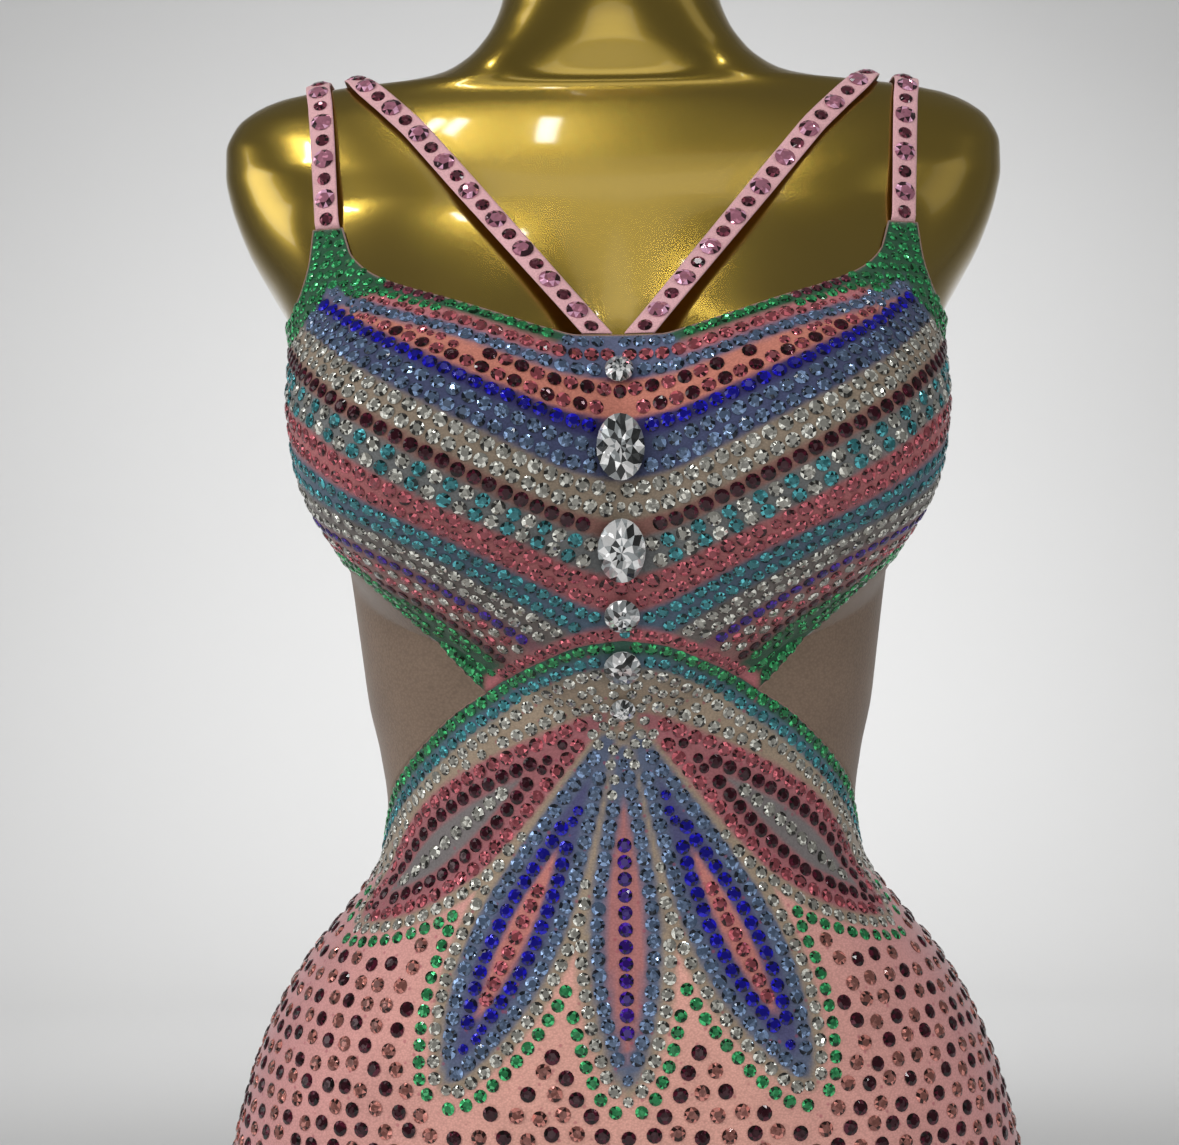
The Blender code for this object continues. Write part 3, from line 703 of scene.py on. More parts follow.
class StoneField:
    """The stones set so far, by group. One that would touch another isn't set."""

    def __init__(self):
        self.cells = {}
        self.groups = {}

    def is_clear(self, place, radius, gap):
        for step in itertools.product((-1, 0, 1), repeat=3):
            cell = tuple(int(c // CELL) + s for c, s in zip(place, step))
            for other, other_radius in self.cells.get(cell, ()):
                if np.dot(place - other, place - other) < (radius + other_radius + gap) ** 2:
                    return False
        return True

    def add(self, place, radius):
        self.cells.setdefault(tuple(int(c // CELL) for c in place), []).append((place, radius))

    def set_all(self, group, angle, height, radius, kinds, gap=0.2, jitter=JITTER):
        """Sets stones at these places and, but for central ones, on the other side too."""
        kinds = [kinds] * len(angle) if isinstance(kinds, str) else kinds
        points = lifted(angle, height, STONE_SEAT - SEATED)
        normals = normal_at(cloth_surface, angle, height)
        alongs = unit(slopes(cloth_surface, angle, height)[0])
        for point, normal, along, kind in zip(points, normals, alongs, kinds):
            central = abs(point[0]) < radius + CENTRAL
            for side in (1,) if central else (1, -1):
                flip = np.array([side, 1, 1])
                slide = np.clip(rng.normal(0, jitter, 2), -2 * jitter, 2 * jitter)
                place = (point + along * slide[0] + np.cross(normal, along) * slide[1]) * flip
                if abs(point[0]) < ON_CENTRE:
                    place[0] = 0
                if self.is_clear(place, radius, gap):
                    self.add(place, radius)
                    self.groups.setdefault(group, []).append((place, normal * flip, along, radius, kind))


field = StoneField()


def along_line(angle, height, pitch, start=0.5):
    """Evenly spaced stations along a line on the cloth, the first a share of the pitch along it."""
    run = run_of(cloth_surface(angle, height))
    at = np.arange(start * pitch, run[-1], pitch)
    return np.interp(at, run, angle), np.interp(at, run, height)


def moved(angle, height, shift):
    """Where points of the cloth get to after a small shift along it."""
    turn, up = slopes(cloth_surface, angle, height)
    a, b, c = (turn * turn).sum(-1), (turn * up).sum(-1), (up * up).sum(-1)
    p, q = (turn * shift).sum(-1), (up * shift).sum(-1)
    det = a * c - b * b
    return angle + (c * p - b * q) / det, height + (a * q - b * p) / det


def inset_line(angle, height, distance):
    """The line a distance beside this one, measured along the cloth: above one that runs to the
    wearer's left, or below it if negative."""
    steps = max(1, math.ceil(abs(distance) / INSET_STEP))
    for _ in range(steps):
        tangent = unit(np.gradient(cloth_surface(angle, height), axis=0))
        inward = np.cross(normal_at(cloth_surface, angle, height), tangent)
        angle, height = moved(angle, height, inward * distance / steps)
    return angle, height


def edge_line(edge, start, end):
    """Closely and evenly spaced points of an edge, on its steep stretches too."""
    angle = np.linspace(start, end, EDGE_SAMPLES)
    return along_line(angle, edge(angle), EDGE_PITCH, 0)


def seam_line(low, high, count):
    """Points up the side seam."""
    return np.full(count, SIDE), np.linspace(low, high, count)


def least_squares_to(points, line):
    """The square of each point's distance from the nearest point of a line."""
    least = np.empty(len(points))
    for k in range(0, len(points), CHUNK):
        apart = points[k:k + CHUNK, None] - line[None]
        least[k:k + CHUNK] = (apart**2).sum(-1).min(1)
    return least


def far_from(angle, height, lines, least):
    """Which of these points lie more than this far from every line."""
    points = cloth_surface(angle, height)
    ok = np.ones(len(points), bool)
    for line in lines:
        ok &= least_squares_to(points, cloth_surface(*line)[::2]) > least**2
    return ok


# Stones along an edge: the edge, first and last angle, how far in, radius, kind, pitch, and where they
# start as a share of the pitch
EdgeRow = namedtuple("EdgeRow", "edge first last inset radius kind pitch start", defaults=(0.5,))
# How near to the edge a row's stones may come, as a share of the inset, and their rims to a seam
ROW_NEAREST, ROW_FROM_SEAM = 0.85, 0.5


def set_edge_row(group, row, side_seam):
    """Sets a row above a lower edge, or below an upper one, and clear of the side seam."""
    side = 1 if row.edge is bodice_bottom else -1
    border = edge_line(row.edge, row.first, row.last)
    angle, height = along_line(*inset_line(*border, side * row.inset), row.pitch, row.start)
    inside = (angle >= row.first) & (angle <= row.last) & (side * (height - row.edge(angle)) > 0)
    inside &= far_from(angle, height, [border], row.inset * ROW_NEAREST)
    inside &= far_from(angle, height, [side_seam], row.radius + ROW_FROM_SEAM)
    field.set_all(group, angle[inside], height[inside], row.radius, row.kind, gap=0.02, jitter=0.05)


# Stones in staggered rows: their first and last angle, lowest and highest rise, spacing, radius, gap
Fill = namedtuple("Fill", "first last low high spacing radius gap")


def set_fill(group, fill, reference, kind_of):
    """Sets stones wherever there is still room. kind_of gives "" where none is wanted."""
    away = np.linspace(fill.first, fill.last, LINE_SAMPLES)
    for k, rise in enumerate(np.arange(fill.low, fill.high, fill.spacing * STAGGER)):
        line = away, height_at_rise(away, rise, reference)
        angle, height = along_line(*line, fill.spacing, 0.5 * (k % 2))
        kinds = kind_of(angle, height)
        ok = np.array([kind != "" for kind in kinds], bool)
        chosen = [kind for kind in kinds if kind]
        field.set_all(group, angle[ok], height[ok], fill.radius, chosen, gap=fill.gap)


# The pattern of the bodice: nested chevrons that follow the cups

chevron = smooth_table((
    (0, 0), (6, 4), (14, 15), (24, 31), (35, 50), (47, 70), (60, 83), (75, 84), (SIDE, 76), (180, 74),
))
ROW_PITCH, TOP_ROW_RISE = 8.3, 39.0
# Bands from the neckline down: rows, stones taken in turn along a row, the cloth's dye
BANDS = (
    (1, ("sapphire",), (76, 82, 112)),
    (1, ("cobalt",), (44, 40, 88)),
    (2, ("maroon", "rose"), (184, 116, 100)),
    (1, ("cobalt",), (44, 40, 88)),
    (2, ("sapphire",), (62, 68, 98)),
    (2, ("crystal",), (134, 120, 104)),
    (1, ("maroon",), (126, 88, 80)),
    (2, ("crystal", "aqua"), (104, 106, 106)),
    (2, ("rose",), (160, 94, 96)),
    (2, ("aqua",), (76, 94, 112)),
    (2, ("crystal",), (108, 101, 97)),
    (1, ("violet",), (128, 86, 94)),
    (2, ("crystal", "rose"), (144, 104, 100)),
    (1, ("maroon",), (128, 82, 82)),
    (6, ("green",), (44, 82, 60)),
)
ROW_STONES = [stones for rows, stones, _ in BANDS for _ in range(rows)]
ROW_DYES = np.array([linear(dye) for rows, _, dye in BANDS for _ in range(rows)])
GREEN_DYE, ROSE_DYE, SAPPHIRE_DYE = linear((36, 78, 54)), linear((172, 104, 108)), linear((84, 90, 116))
# Rows of these stones are set first, and rows below the fullest part of the cups have smaller stones
LEADING_KINDS = ("cobalt", "maroon", "violet")
LOW_ROWS_FROM = 13
# Rows that keep bare cloth between their stones, up to an angle beyond which they are filled
BARE_ROWS, FULL_FROM = (2, 3), 21
# How far from the neckline the rose and the blue along it end, and the angle from which it is rose
ROSE_END, NECK_END, ROSE_FROM = 13.6, 20.5, 7
# How far the green reaches from the neckline and from the armhole, by angle
green_neck = smooth_table(((0, 0), (5, 0), (ROSE_FROM, 6.2), (30, 6.2), (HORN_INNER, 14), (SIDE, 14)))
green_arm = smooth_table(((0, 16), (HORN_OUTER, 17), (60, 12), (80, 6.2), (SIDE, 6.2)))
# How far the green reaches down from the back's edge, and green and rose up from the lower edge
GREEN_BACK, GREEN_BOTTOM, ROSE_BOTTOM = 6.2, 13.5, 7.0
BODICE_EDGE_ROWS = (
    EdgeRow(bodice_top, 22, HORN_INNER, 1.8, 2.4, "dark_rose", 5.2),
    EdgeRow(bodice_top, 0, 7.2, 3.4, SMALL, "sapphire", 6.3),
    EdgeRow(bodice_top, 7.2, 22, 2.4, 2.6, "green", 5.5),
    EdgeRow(bodice_top, 20, HORN_INNER, 7.1, 2.5, "green", 5.4),
    EdgeRow(bodice_top, 0.4, HORN_INNER - 2, 10.0, MEDIUM, "rose", 7.0),
    EdgeRow(bodice_top, 0.4, HORN_INNER - 2, 17.0, MEDIUM, "sapphire", 7.0),
    EdgeRow(bodice_top, HORN_OUTER, SIDE - 0.5, 2.0, 2.6, "green", 5.4),
    EdgeRow(bodice_top, HORN_OUTER, SIDE - 0.5, 7.4, 2.6, "green", 5.4, 0.0),
    EdgeRow(bodice_bottom, TIP + 0.5, SIDE - 0.5, 2.4, 2.6, "green", 5.5, 0.0),
    EdgeRow(bodice_bottom, TIP + 0.5, SIDE - 0.5, 8.0, 2.6, "green", 5.5, 0.5),
    EdgeRow(bodice_bottom, 1.0, TIP + 1, 3.6, SMALL, "rose", 6.1),
)
BACK_EDGE_ROWS = (
    EdgeRow(bodice_top, SIDE + 0.5, 179.9, 3.3, SMALL, "green", 6.2),
    EdgeRow(bodice_bottom, SIDE + 0.5, 179.9, 3.3, SMALL, "green", 6.2),
)
GREEN_FILLS = (
    Fill(24, SIDE, 20, 150, 5.25, 2.4, 0.05),
    Fill(24, SIDE, 20, 150, 1.7, 2.2, 0.05),
    Fill(24, SIDE, 20, 150, 1.5, 1.45, 0.05),
)
ROW_FILLS = (Fill(0, SIDE, -120, 150, 2.6, 2.3, 0.1), Fill(FULL_FROM, SIDE, 0, 150, 1.7, 1.7, 0.1))
# Even rows across the horns: how far below their top, how far apart, how many, and their stones
HORN_FIRST, HORN_PITCH, HORN_COUNT, HORN_STONE, HORN_STONE_PITCH = 2.5, 5.0, 6, 2.45, 5.15
# How far stones' middles keep from the edges and the seam: in the green, in what fills the rows and in
# the rows, and from the seam at the back
GREEN_MARGIN, FILL_MARGIN, ROW_MARGIN, BACK_SEAM_MARGIN = 2.2, 2.4, 3.6, 3.4
# How far apart the rims are in the front's rows, and the middles in the back's
ROOM_IN_ROW, BACK_STONE_PITCH = 0.75, 7.3
BODICE_SEAM = seam_line(BAND_BOTTOM, BAND_TOP, 80)
DISTANCE_STEP = 2.0
DISTANCE_HEIGHTS = np.arange(480, 700, DISTANCE_STEP)


def distance_chart(start, end):
    """How far each point of the bodice's front lies from a stretch of its upper edge."""
    turns, heights = np.meshgrid(CHART_ANGLES[CHART_ANGLES <= SIDE + 1], DISTANCE_HEIGHTS, indexing="ij")
    line = cloth_surface(*edge_line(bodice_top, start, end))[::3]
    squares = least_squares_to(cloth_surface(turns, heights).reshape(-1, 3), line)
    return np.sqrt(squares).reshape(turns.shape)


neck_distance = distance_chart(0, HORN_INNER)
arm_distance = distance_chart(HORN_INNER + 0.2, SIDE)


def from_neck(away, height):
    return read_chart(neck_distance, away, height, DISTANCE_HEIGHTS[0], DISTANCE_STEP)


def is_green(away, height):
    from_arm = read_chart(arm_distance, away, height, DISTANCE_HEIGHTS[0], DISTANCE_STEP)
    return (from_neck(away, height) < green_neck(away)) | (from_arm < green_arm(away))


def row_at(away, rise):
    """Which of the chevrons' rows passes nearest."""
    row = (TOP_ROW_RISE - (rise - chevron(away))) / ROW_PITCH
    return np.clip(np.round(row), 0, len(ROW_STONES) - 1).astype(int)


def row_line(row, start, end, count):
    away = np.linspace(start, end, count)
    return away, height_at_rise(away, TOP_ROW_RISE - row * ROW_PITCH + chevron(away), BUST_HEIGHT)


def painted(dye, where, colour):
    return np.where(where[:, None], colour, dye)


def bodice_dye(angle, height):
    """The colour that the cloth is dyed at each point."""
    away = away_of(angle)
    rise = rise_at(away, height, BUST_HEIGHT)
    up = rise - rise_at(away, bodice_bottom(away), BUST_HEIGHT)
    down = rise_at(away, bodice_top(away), BUST_HEIGHT) - rise
    front = away < SIDE
    neck = from_neck(away, height)
    dye = painted(ROW_DYES[row_at(away, rise)], front & (neck < NECK_END), SAPPHIRE_DYE)
    dye = painted(dye, front & (neck < ROSE_END) & (away > ROSE_FROM), ROSE_DYE)
    dye = painted(dye, np.where(front, is_green(away, height), down < GREEN_BACK), GREEN_DYE)
    dye = painted(dye, (up < GREEN_BOTTOM) & (away > TIP), GREEN_DYE)
    return painted(dye, (up < ROSE_BOTTOM) & (away <= TIP), ROSE_DYE)


def set_horn_stones():
    """Even rows across the horns, down from the straps."""
    inner_angle, inner_height = edge_line(bodice_top, 20, HORN_INNER)
    outer_angle, outer_height = edge_line(bodice_top, HORN_OUTER, SIDE)
    for height in HORN_HEIGHT - HORN_FIRST - HORN_PITCH * np.arange(HORN_COUNT):
        ends = np.array([
            np.interp(height, inner_height, inner_angle),
            np.interp(-height, -outer_height, outer_angle),
        ])
        width = np.linalg.norm(np.diff(cloth_surface(ends, height), axis=0))
        count = int(width // HORN_STONE_PITCH)
        angle = np.linspace(*ends, 2 * count + 1)[1::2]
        field.set_all("bodice", angle, np.full(count, height), HORN_STONE, "green", gap=0.0, jitter=0.04)


def in_bodice(angle, height, lines):
    """Which points lie on the bodice or its back band, clear of (line, least distance) lines."""
    inside = (height < bodice_top(angle)) & (height > bodice_bottom(angle))
    for line, least in lines:
        inside[inside] &= far_from(angle[inside], height[inside], [line], least)
    return inside


def taken_in_turn(kinds, chosen):
    """The kind of each chosen stone of a row whose stones change in turn."""
    return [kinds[turn % len(kinds)] for turn in np.arange(len(chosen))[chosen]]


def set_bodice_stones():
    """The horns and the edges first, then the green, the chevrons' rows and what fills them."""
    lines = (edge_line(bodice_top, 0, SIDE), edge_line(bodice_bottom, 0, SIDE), BODICE_SEAM)

    def is_inside(angle, height, margin):
        return in_bodice(angle, height, [(line, margin) for line in lines])

    def green_kinds(angle, height):
        wanted = is_inside(angle, height, GREEN_MARGIN) & is_green(angle, height)
        return ["green" if use else "" for use in wanted]

    def row_kinds(angle, height):
        kinds = []
        rows = row_at(angle, rise_at(angle, height, BUST_HEIGHT))
        wanted = is_inside(angle, height, FILL_MARGIN)
        for use, k, distance, away in zip(wanted, rows, from_neck(angle, height), angle):
            kind = "" if k in BARE_ROWS and away < FULL_FROM else ROW_STONES[k][-1]
            if distance < NECK_END:
                kind = "rose" if distance < ROSE_END else "sapphire"
            kinds.append(kind if use else "")
        return kinds

    set_horn_stones()
    for row in BODICE_EDGE_ROWS:
        set_edge_row("bodice", row, BODICE_SEAM)
    for fill in GREEN_FILLS:
        set_fill("bodice", fill, BUST_HEIGHT, green_kinds)
    for k in sorted(range(len(ROW_STONES)), key=lambda k: ROW_STONES[k][0] not in LEADING_KINDS):
        radius = MEDIUM if k < LOW_ROWS_FROM else SMALL
        angle, height = along_line(*row_line(k, 0, SIDE, 500), 2 * radius + ROOM_IN_ROW, 0.5 * (k % 2))
        inside = is_inside(angle, height, ROW_MARGIN) & ~is_green(angle, height)
        inside &= from_neck(angle, height) > NECK_END
        chosen = taken_in_turn(ROW_STONES[k], inside)
        field.set_all("bodice", angle[inside], height[inside], radius, chosen, gap=0.1)
    for fill in ROW_FILLS:
        set_fill("bodice", fill, BUST_HEIGHT, row_kinds)


def set_back_band_stones():
    """Green along the edges, and the chevrons' rows on round the back."""
    for row in BACK_EDGE_ROWS:
        set_edge_row("back_band", row, BODICE_SEAM)
    lines = [(edge_line(edge, SIDE, 180), ROW_MARGIN) for edge in (bodice_top, bodice_bottom)]
    lines.append((BODICE_SEAM, BACK_SEAM_MARGIN))
    for k, kinds in enumerate(ROW_STONES):
        angle, height = along_line(*row_line(k, SIDE, 180, 400), BACK_STONE_PITCH, 0.5 * (k % 2))
        inside = in_bodice(angle, height, lines)
        chosen = taken_in_turn(kinds, inside)
        field.set_all("back_band", angle[inside], height[inside], MEDIUM, chosen, gap=0.12)


# The pattern of the skirt: five leaves that fan out, over an even scatter

# The height from which lengths up the skirt are measured
BELLY = 400.0
# The middle leaf and those on the wearer's left: direction from straight down, where the base lies
# round from the middle and in height, length, half width, and stones and dyes from the outside in
Leaf = namedtuple("Leaf", "direction base_round base_height length widest kinds dyes")
LEAVES = (
    Leaf(52, 9, 471, 158, 18.0, ("rose", "maroon", "crystal"),
         ((170, 106, 112), (160, 100, 104), (124, 118, 118))),
    Leaf(25, 6, 462, 166, 15.5, ("sapphire", "cobalt", "rose"),
         ((94, 104, 128), (80, 80, 118), (196, 126, 118))),
    Leaf(0, 0, 456, 142, 12.0, ("sapphire", "violet"), ((94, 104, 128), (176, 116, 114))),
)
LEAF_POINTED, LEAF_ROUND = 1.35, 0.8
# How often a leaf's place is refined
LEAF_REFINED = 6
# The rows inside a leaf: how far apart, half their breadth, and the least half width that has a row
LEAF_ROW, HALF_ROW, ROW_LEAST, MIDDLE_LEAST = 7.0, 3.4, 1.5, -2.6
# Stations along a leaf's rows and along its middle line: pitch, and where they start
SIDE_STATIONS, MIDDLE_STATIONS = (7.2, 0.4), (7.3, 0.3)
# The rows of stones round a leaf: distance, kind, pitch, how far they stay below the upper edge
OUTLINES = ((7.0, "crystal", 7.0, 20), (13.65, "green", 7.2, 39))
# The radius of those stones, and how much nearer than their row's distance they may come to a leaf
OUTLINE_STONE, OUTLINE_OVERLAP = 2.9, 3.2
# Stones in a leaf stay this far below the upper edge, and all these rows end past this angle
LEAF_TOP, PAST_MIDDLE = 22, -0.3
# Rows along the skirt's upper edge: how far below it, and the kind of stone
EDGE_ROWS = ((2.6, "green"), (9.0, "aqua"), (15.4, "crystal"))
EDGE_STEP, EDGE_STONE_PITCH = 6.4, 6.3
# The dyes along the upper edge and how broad each is, the dye round the leaves and how far it reaches
EDGE_DYES, EDGE_DYE_STEP = linear(((58, 96, 82), (84, 108, 124), (156, 142, 124))), 6.6
CREAM_DYE, CREAM_REACH = linear((160, 142, 122)), 9.5
# The skirt's dye at the front, painted lighter and peachier as the gold form's glow through the sheer
# knit, and its dye at the side, and the angles over which one turns into the other
FRONT_COLOUR_WITH_PAINTED_GLOW, SIDE_DYE = linear((226, 168, 154)), linear((204, 144, 146))
BLEND_FROM, BLEND_OVER = 15, 60
# How far below its top edge the cloth between the leaves' bases is cream, and how far from a leaf
YOKE, YOKE_REACH = 36.0, 30.0
# What fills the leaves: how far outside them it reaches, and how far it keeps from edge and seam
LEAF_FILL, FILL_REACH, FILL_CLEAR = Fill(0, SIDE, -130, 90, 2.6, 2.3, 0.15), 9, 2.4
# The line of stones below the middle leaf: a place along the leaf, how far below it, and their pitch
BELOW_LEAF, BELOW_START, BELOW_PITCH = 1.1, 9, 12.5
# The scatter: pitch across and down, its highest row, stones, and how often two kinds change places
SCATTER_ACROSS, SCATTER_DOWN, SCATTER_TOP = 10.6, 8.6, 470.0
SCATTER_RADIUS, SCATTER_JITTER, SCATTER_SWAPS = 3.4, 0.75, 0.14
# How far the scatter keeps from the upper edge, the middle, the leaves, the seam, rows' ends, the hem
SCATTER_FROM_TOP, SCATTER_FROM_MIDDLE, SCATTER_FROM_LEAF = 20, 6.5, 17.0
SCATTER_FROM_SEAM, SCATTER_END, HEM_CLEAR = 3.6, 3.2, 9.0
# What fills the scatter's gaps: spacing of the tries, least gap, share of dark stones, first angle
GAP_SPACING, GAP_LEAST, GAP_DARK, GAP_FROM = 4.0, 2.1, 0.5, 3
SKIRT_SEAM = seam_line(HEM_HEIGHT, 410, 200)
SKIRT_SEAM_TOP = seam_line(380, 410, 60)


def leaf_half_width(share, widest):
    """A leaf's half width along it: pointed at its base and rounder towards its tip."""
    return widest * np.sin(np.pi * np.clip(share, 0, 1) ** LEAF_POINTED) ** LEAF_ROUND


def leaf_place(leaf, share, across):
    """Where a point of a leaf lies on the cloth. Across is measured from its middle line."""
    turn = math.radians(leaf.direction)
    round_by = leaf.base_round + share * leaf.length * math.sin(turn) + across * math.cos(turn)
    start = rise_at(0, leaf.base_height, BELLY)
    rise = start - share * leaf.length * math.cos(turn) + across * math.sin(turn)
    height = BELLY + rise
    for _ in range(LEAF_REFINED):
        angle = np.sign(round_by) * angle_at_round(np.abs(round_by), height)
        height = height_at_rise(np.abs(angle), rise, BELLY)
    return angle, height


def leaf_depth(leaf, angle, height):
    """How far a point lies inside a leaf's outline, less than 0 outside it."""
    turn = math.radians(leaf.direction)
    away = away_of(angle)
    along = round_at(away, height) - leaf.base_round
    down = rise_at(0, leaf.base_height, BELLY) - rise_at(away, height, BELLY)
    share = (along * math.sin(turn) + down * math.cos(turn)) / leaf.length
    across = along * math.cos(turn) - down * math.sin(turn)
    past = np.maximum(0, np.maximum(-share, share - 1)) * leaf.length
    return leaf_half_width(share, leaf.widest) - np.abs(across) - past


def leaf_depths(angle, height):
    return np.array([leaf_depth(leaf, angle, height) for leaf in LEAVES])


def below_top(angle, height):
    """How far below the skirt's upper edge a point lies, along the cloth."""
    return rise_at(angle, skirt_top(angle), BELLY) - rise_at(angle, height, BELLY)


def skirt_colour_with_painted_glow(angle, height):
    """The colour that the cloth is dyed at each point, painted lighter and peachier towards the centre
    front as the gold form's glow through it.
    """
    away = away_of(angle)
    # Painted glow: lighter and peachier towards the centre front, standing in for the gold form seen
    # through the sheer knit
    blend = np.clip((away - BLEND_FROM) / BLEND_OVER, 0, 1)[:, None]
    dye = FRONT_COLOUR_WITH_PAINTED_GLOW * (1 - blend) + SIDE_DYE * blend
    front = away < SIDE + 1
    below = below_top(away, height)
    depths = leaf_depths(angle, height)
    for depth in depths:
        cream = (depth > -CREAM_REACH) | ((depth > -YOKE_REACH) & (below < YOKE))
        dye = painted(dye, cream & front, CREAM_DYE)
    for leaf, depth in zip(LEAVES, depths):
        for k, colour in enumerate(leaf.dyes):
            dye = painted(dye, (depth > LEAF_ROW * k - HALF_ROW) & front, linear(colour))
    for k in reversed(range(len(EDGE_DYES))):
        dye = painted(dye, below < EDGE_DYE_STEP * (k + 1), EDGE_DYES[k])
    return dye


def sides_of(leaf):
    """A leaf's sides to be set. The middle leaf's other side is set with its first."""
    return (1, -1) if leaf.direction else (1,)


def set_leaf(leaf):
    """Rows that follow the leaf's outline, from the outside in, and its middle line."""
    share = np.linspace(0, 1, LINE_SAMPLES)
    for k, kind in enumerate(leaf.kinds):
        is_middle = k == len(leaf.kinds) - 1
        stations = MIDDLE_STATIONS if is_middle else SIDE_STATIONS
        across = leaf_half_width(share, leaf.widest) - LEAF_ROW * k
        keep = across > (MIDDLE_LEAST if is_middle else ROW_LEAST)
        for side in sides_of(leaf):
            line = leaf_place(leaf, share[keep], (0 if is_middle else side) * across[keep])
            angle, height = along_line(*line, *stations)
            ok = (angle > PAST_MIDDLE) & (height < skirt_top(angle) - LEAF_TOP)
            field.set_all("motif", angle[ok], height[ok], MEDIUM, kind, gap=0.15)


def set_leaf_outline(leaf, distance, kind, pitch, least):
    """A row of stones round a leaf, along its sides and round its tip."""
    share = np.linspace(0.0, 1.0, LINE_SAMPLES)
    quarter = np.linspace(0, np.pi / 2, 24)
    for side in sides_of(leaf):
        edge = leaf_place(leaf, share, side * leaf_half_width(share, leaf.widest))
        beside = along_line(*inset_line(*edge, distance * side), pitch, 0.4)
        tip = leaf_place(
            leaf, 1 + distance * np.sin(quarter) / leaf.length, side * distance * np.cos(quarter)
        )
        angle, height = np.concatenate([beside, along_line(*tip, pitch, 0.2)], axis=1)
        ok = (angle > PAST_MIDDLE) & (height < skirt_top(angle) - least)
        ok &= leaf_depths(angle, height).max(axis=0) < OUTLINE_OVERLAP - distance
        field.set_all("motif", angle[ok], height[ok], OUTLINE_STONE, kind, gap=0.15)


def has_scatter(angle, height, least, is_back):
    """Which points may have the scatter: those clear of the upper edge, the leaves and the seam."""
    ok = below_top(angle, height) > least
    if not is_back:
        ok &= leaf_depths(angle, height).max(axis=0) < -SCATTER_FROM_LEAF
    ok[ok] &= far_from(angle[ok], height[ok], [SKIRT_SEAM], SCATTER_FROM_SEAM)
    return ok


def set_scatter(group, start, end):
    """Staggered rows of dark and blush stones, taken in turn, from the middle to the side seam."""
    is_back = start == SIDE
    row, height = 0, HEM_HEIGHT + HEM_CLEAR
    while height < SCATTER_TOP:
        first, last = round_at(start, height), round_at(end, height)
        steps = np.arange(0, (last - first) / SCATTER_ACROSS + 1)
        from_middle = (steps + 0.5 * (row % 2)) * SCATTER_ACROSS
        from_middle = from_middle[from_middle < last - first - SCATTER_END]
        angle = angle_at_round(last - from_middle if is_back else from_middle, height)
        heights = np.full(angle.shape, height)
        swapped = rng.random(len(angle)) < SCATTER_SWAPS
        dark = (np.arange(len(angle)) + row // 2) % 2 != swapped
        ok = has_scatter(angle, heights, SCATTER_FROM_TOP, is_back)
        ok &= is_back | (from_middle > SCATTER_FROM_MIDDLE)
        kinds = ["maroon" if deep else "blush" for deep in dark[ok]]
        field.set_all(group, angle[ok], heights[ok], SCATTER_RADIUS, kinds, jitter=SCATTER_JITTER)
        row += 1
        slope = np.linalg.norm(slopes(cloth_surface, 180.0 if is_back else 0.0, height)[1])
        height += SCATTER_DOWN / max(1.0, slope)


def fill_scatter(group, start, end):
    """Stones in the scatter's larger gaps, beside the leaves and the seams."""
    is_back = start == SIDE

    def kinds_at(angle, height):
        ok = has_scatter(angle, height, YOKE, is_back) & (height > HEM_HEIGHT + HEM_CLEAR)
        ok &= is_back | ((angle > GAP_FROM) & (angle < SIDE))
        dark = rng.random(len(angle)) < GAP_DARK
        return ["" if not use else "maroon" if deep else "blush" for use, deep in zip(ok, dark)]

    fill = Fill(start, end, -BELLY, 60, GAP_SPACING, SCATTER_RADIUS, GAP_LEAST)
    set_fill(group, fill, BELLY, kinds_at)


def leaf_kinds(angle, height):
    """What fills the room left in the leaves, between their bases and along the upper edge."""
    clear = far_from(angle, height, [edge_line(skirt_top, 0, SIDE), SKIRT_SEAM_TOP], FILL_CLEAR)
    kinds = []
    for depths, down, ok in zip(leaf_depths(angle, height).T, below_top(angle, height), clear):
        depth = depths.max()
        stones = LEAVES[int(depths.argmax())].kinds
        if not ok or down <= 0:
            kind = ""
        elif down < EDGE_ROWS[-1][0] + HALF_ROW:
            kind = EDGE_ROWS[min(int(down // EDGE_STEP), len(EDGE_ROWS) - 1)][1]
        elif depth > -1:
            kind = (stones[:-1] + ("",))[min(int((depth + HALF_ROW) // LEAF_ROW), len(stones) - 1)]
        else:
            kind = "crystal" if depth > -FILL_REACH or (down < YOKE and depth > -YOKE_REACH) else ""
        kinds.append(kind)
    return kinds


def set_skirt_stones():
    """The upper edge and the leaves first, then what fills them, and the scatter last."""
    for inset, kind in EDGE_ROWS:
        front = EdgeRow(skirt_top, 0, SIDE - 0.5, inset, SMALL, kind, EDGE_STONE_PITCH, 0.0)
        back = EdgeRow(skirt_top, SIDE + 0.5, 179.9, inset, SMALL, kind, EDGE_STONE_PITCH)
        set_edge_row("motif", front, SKIRT_SEAM_TOP)
        set_edge_row("skirt_back", back, SKIRT_SEAM_TOP)
    for leaf in LEAVES:
        set_leaf(leaf)
    for outline in OUTLINES:
        for leaf in LEAVES:
            set_leaf_outline(leaf, *outline)
    set_fill("motif", LEAF_FILL, BELLY, leaf_kinds)
    tip = leaf_place(LEAVES[-1], np.array([BELOW_LEAF]), np.array([0.0]))[1][0]
    heights = np.arange(tip - BELOW_START, HEM_HEIGHT + HEM_CLEAR, -BELOW_PITCH)
    field.set_all("skirt_front", 0 * heights, heights, MEDIUM, "maroon")
    for set_stones in (set_scatter, fill_scatter):
        set_stones("skirt_front", 0, SIDE)
        set_stones("skirt_back", SIDE, 180)


# The straps

STRAP_GAP, STRAP_WIDTH, STRAP_WALL, STRAP_END_GAP = 2.0, 11.0, 1.4, 0.5
STRAP_SAMPLES, STRAP_SPANS, STRAP_TURN_LENGTH = 90, 90, 26.0
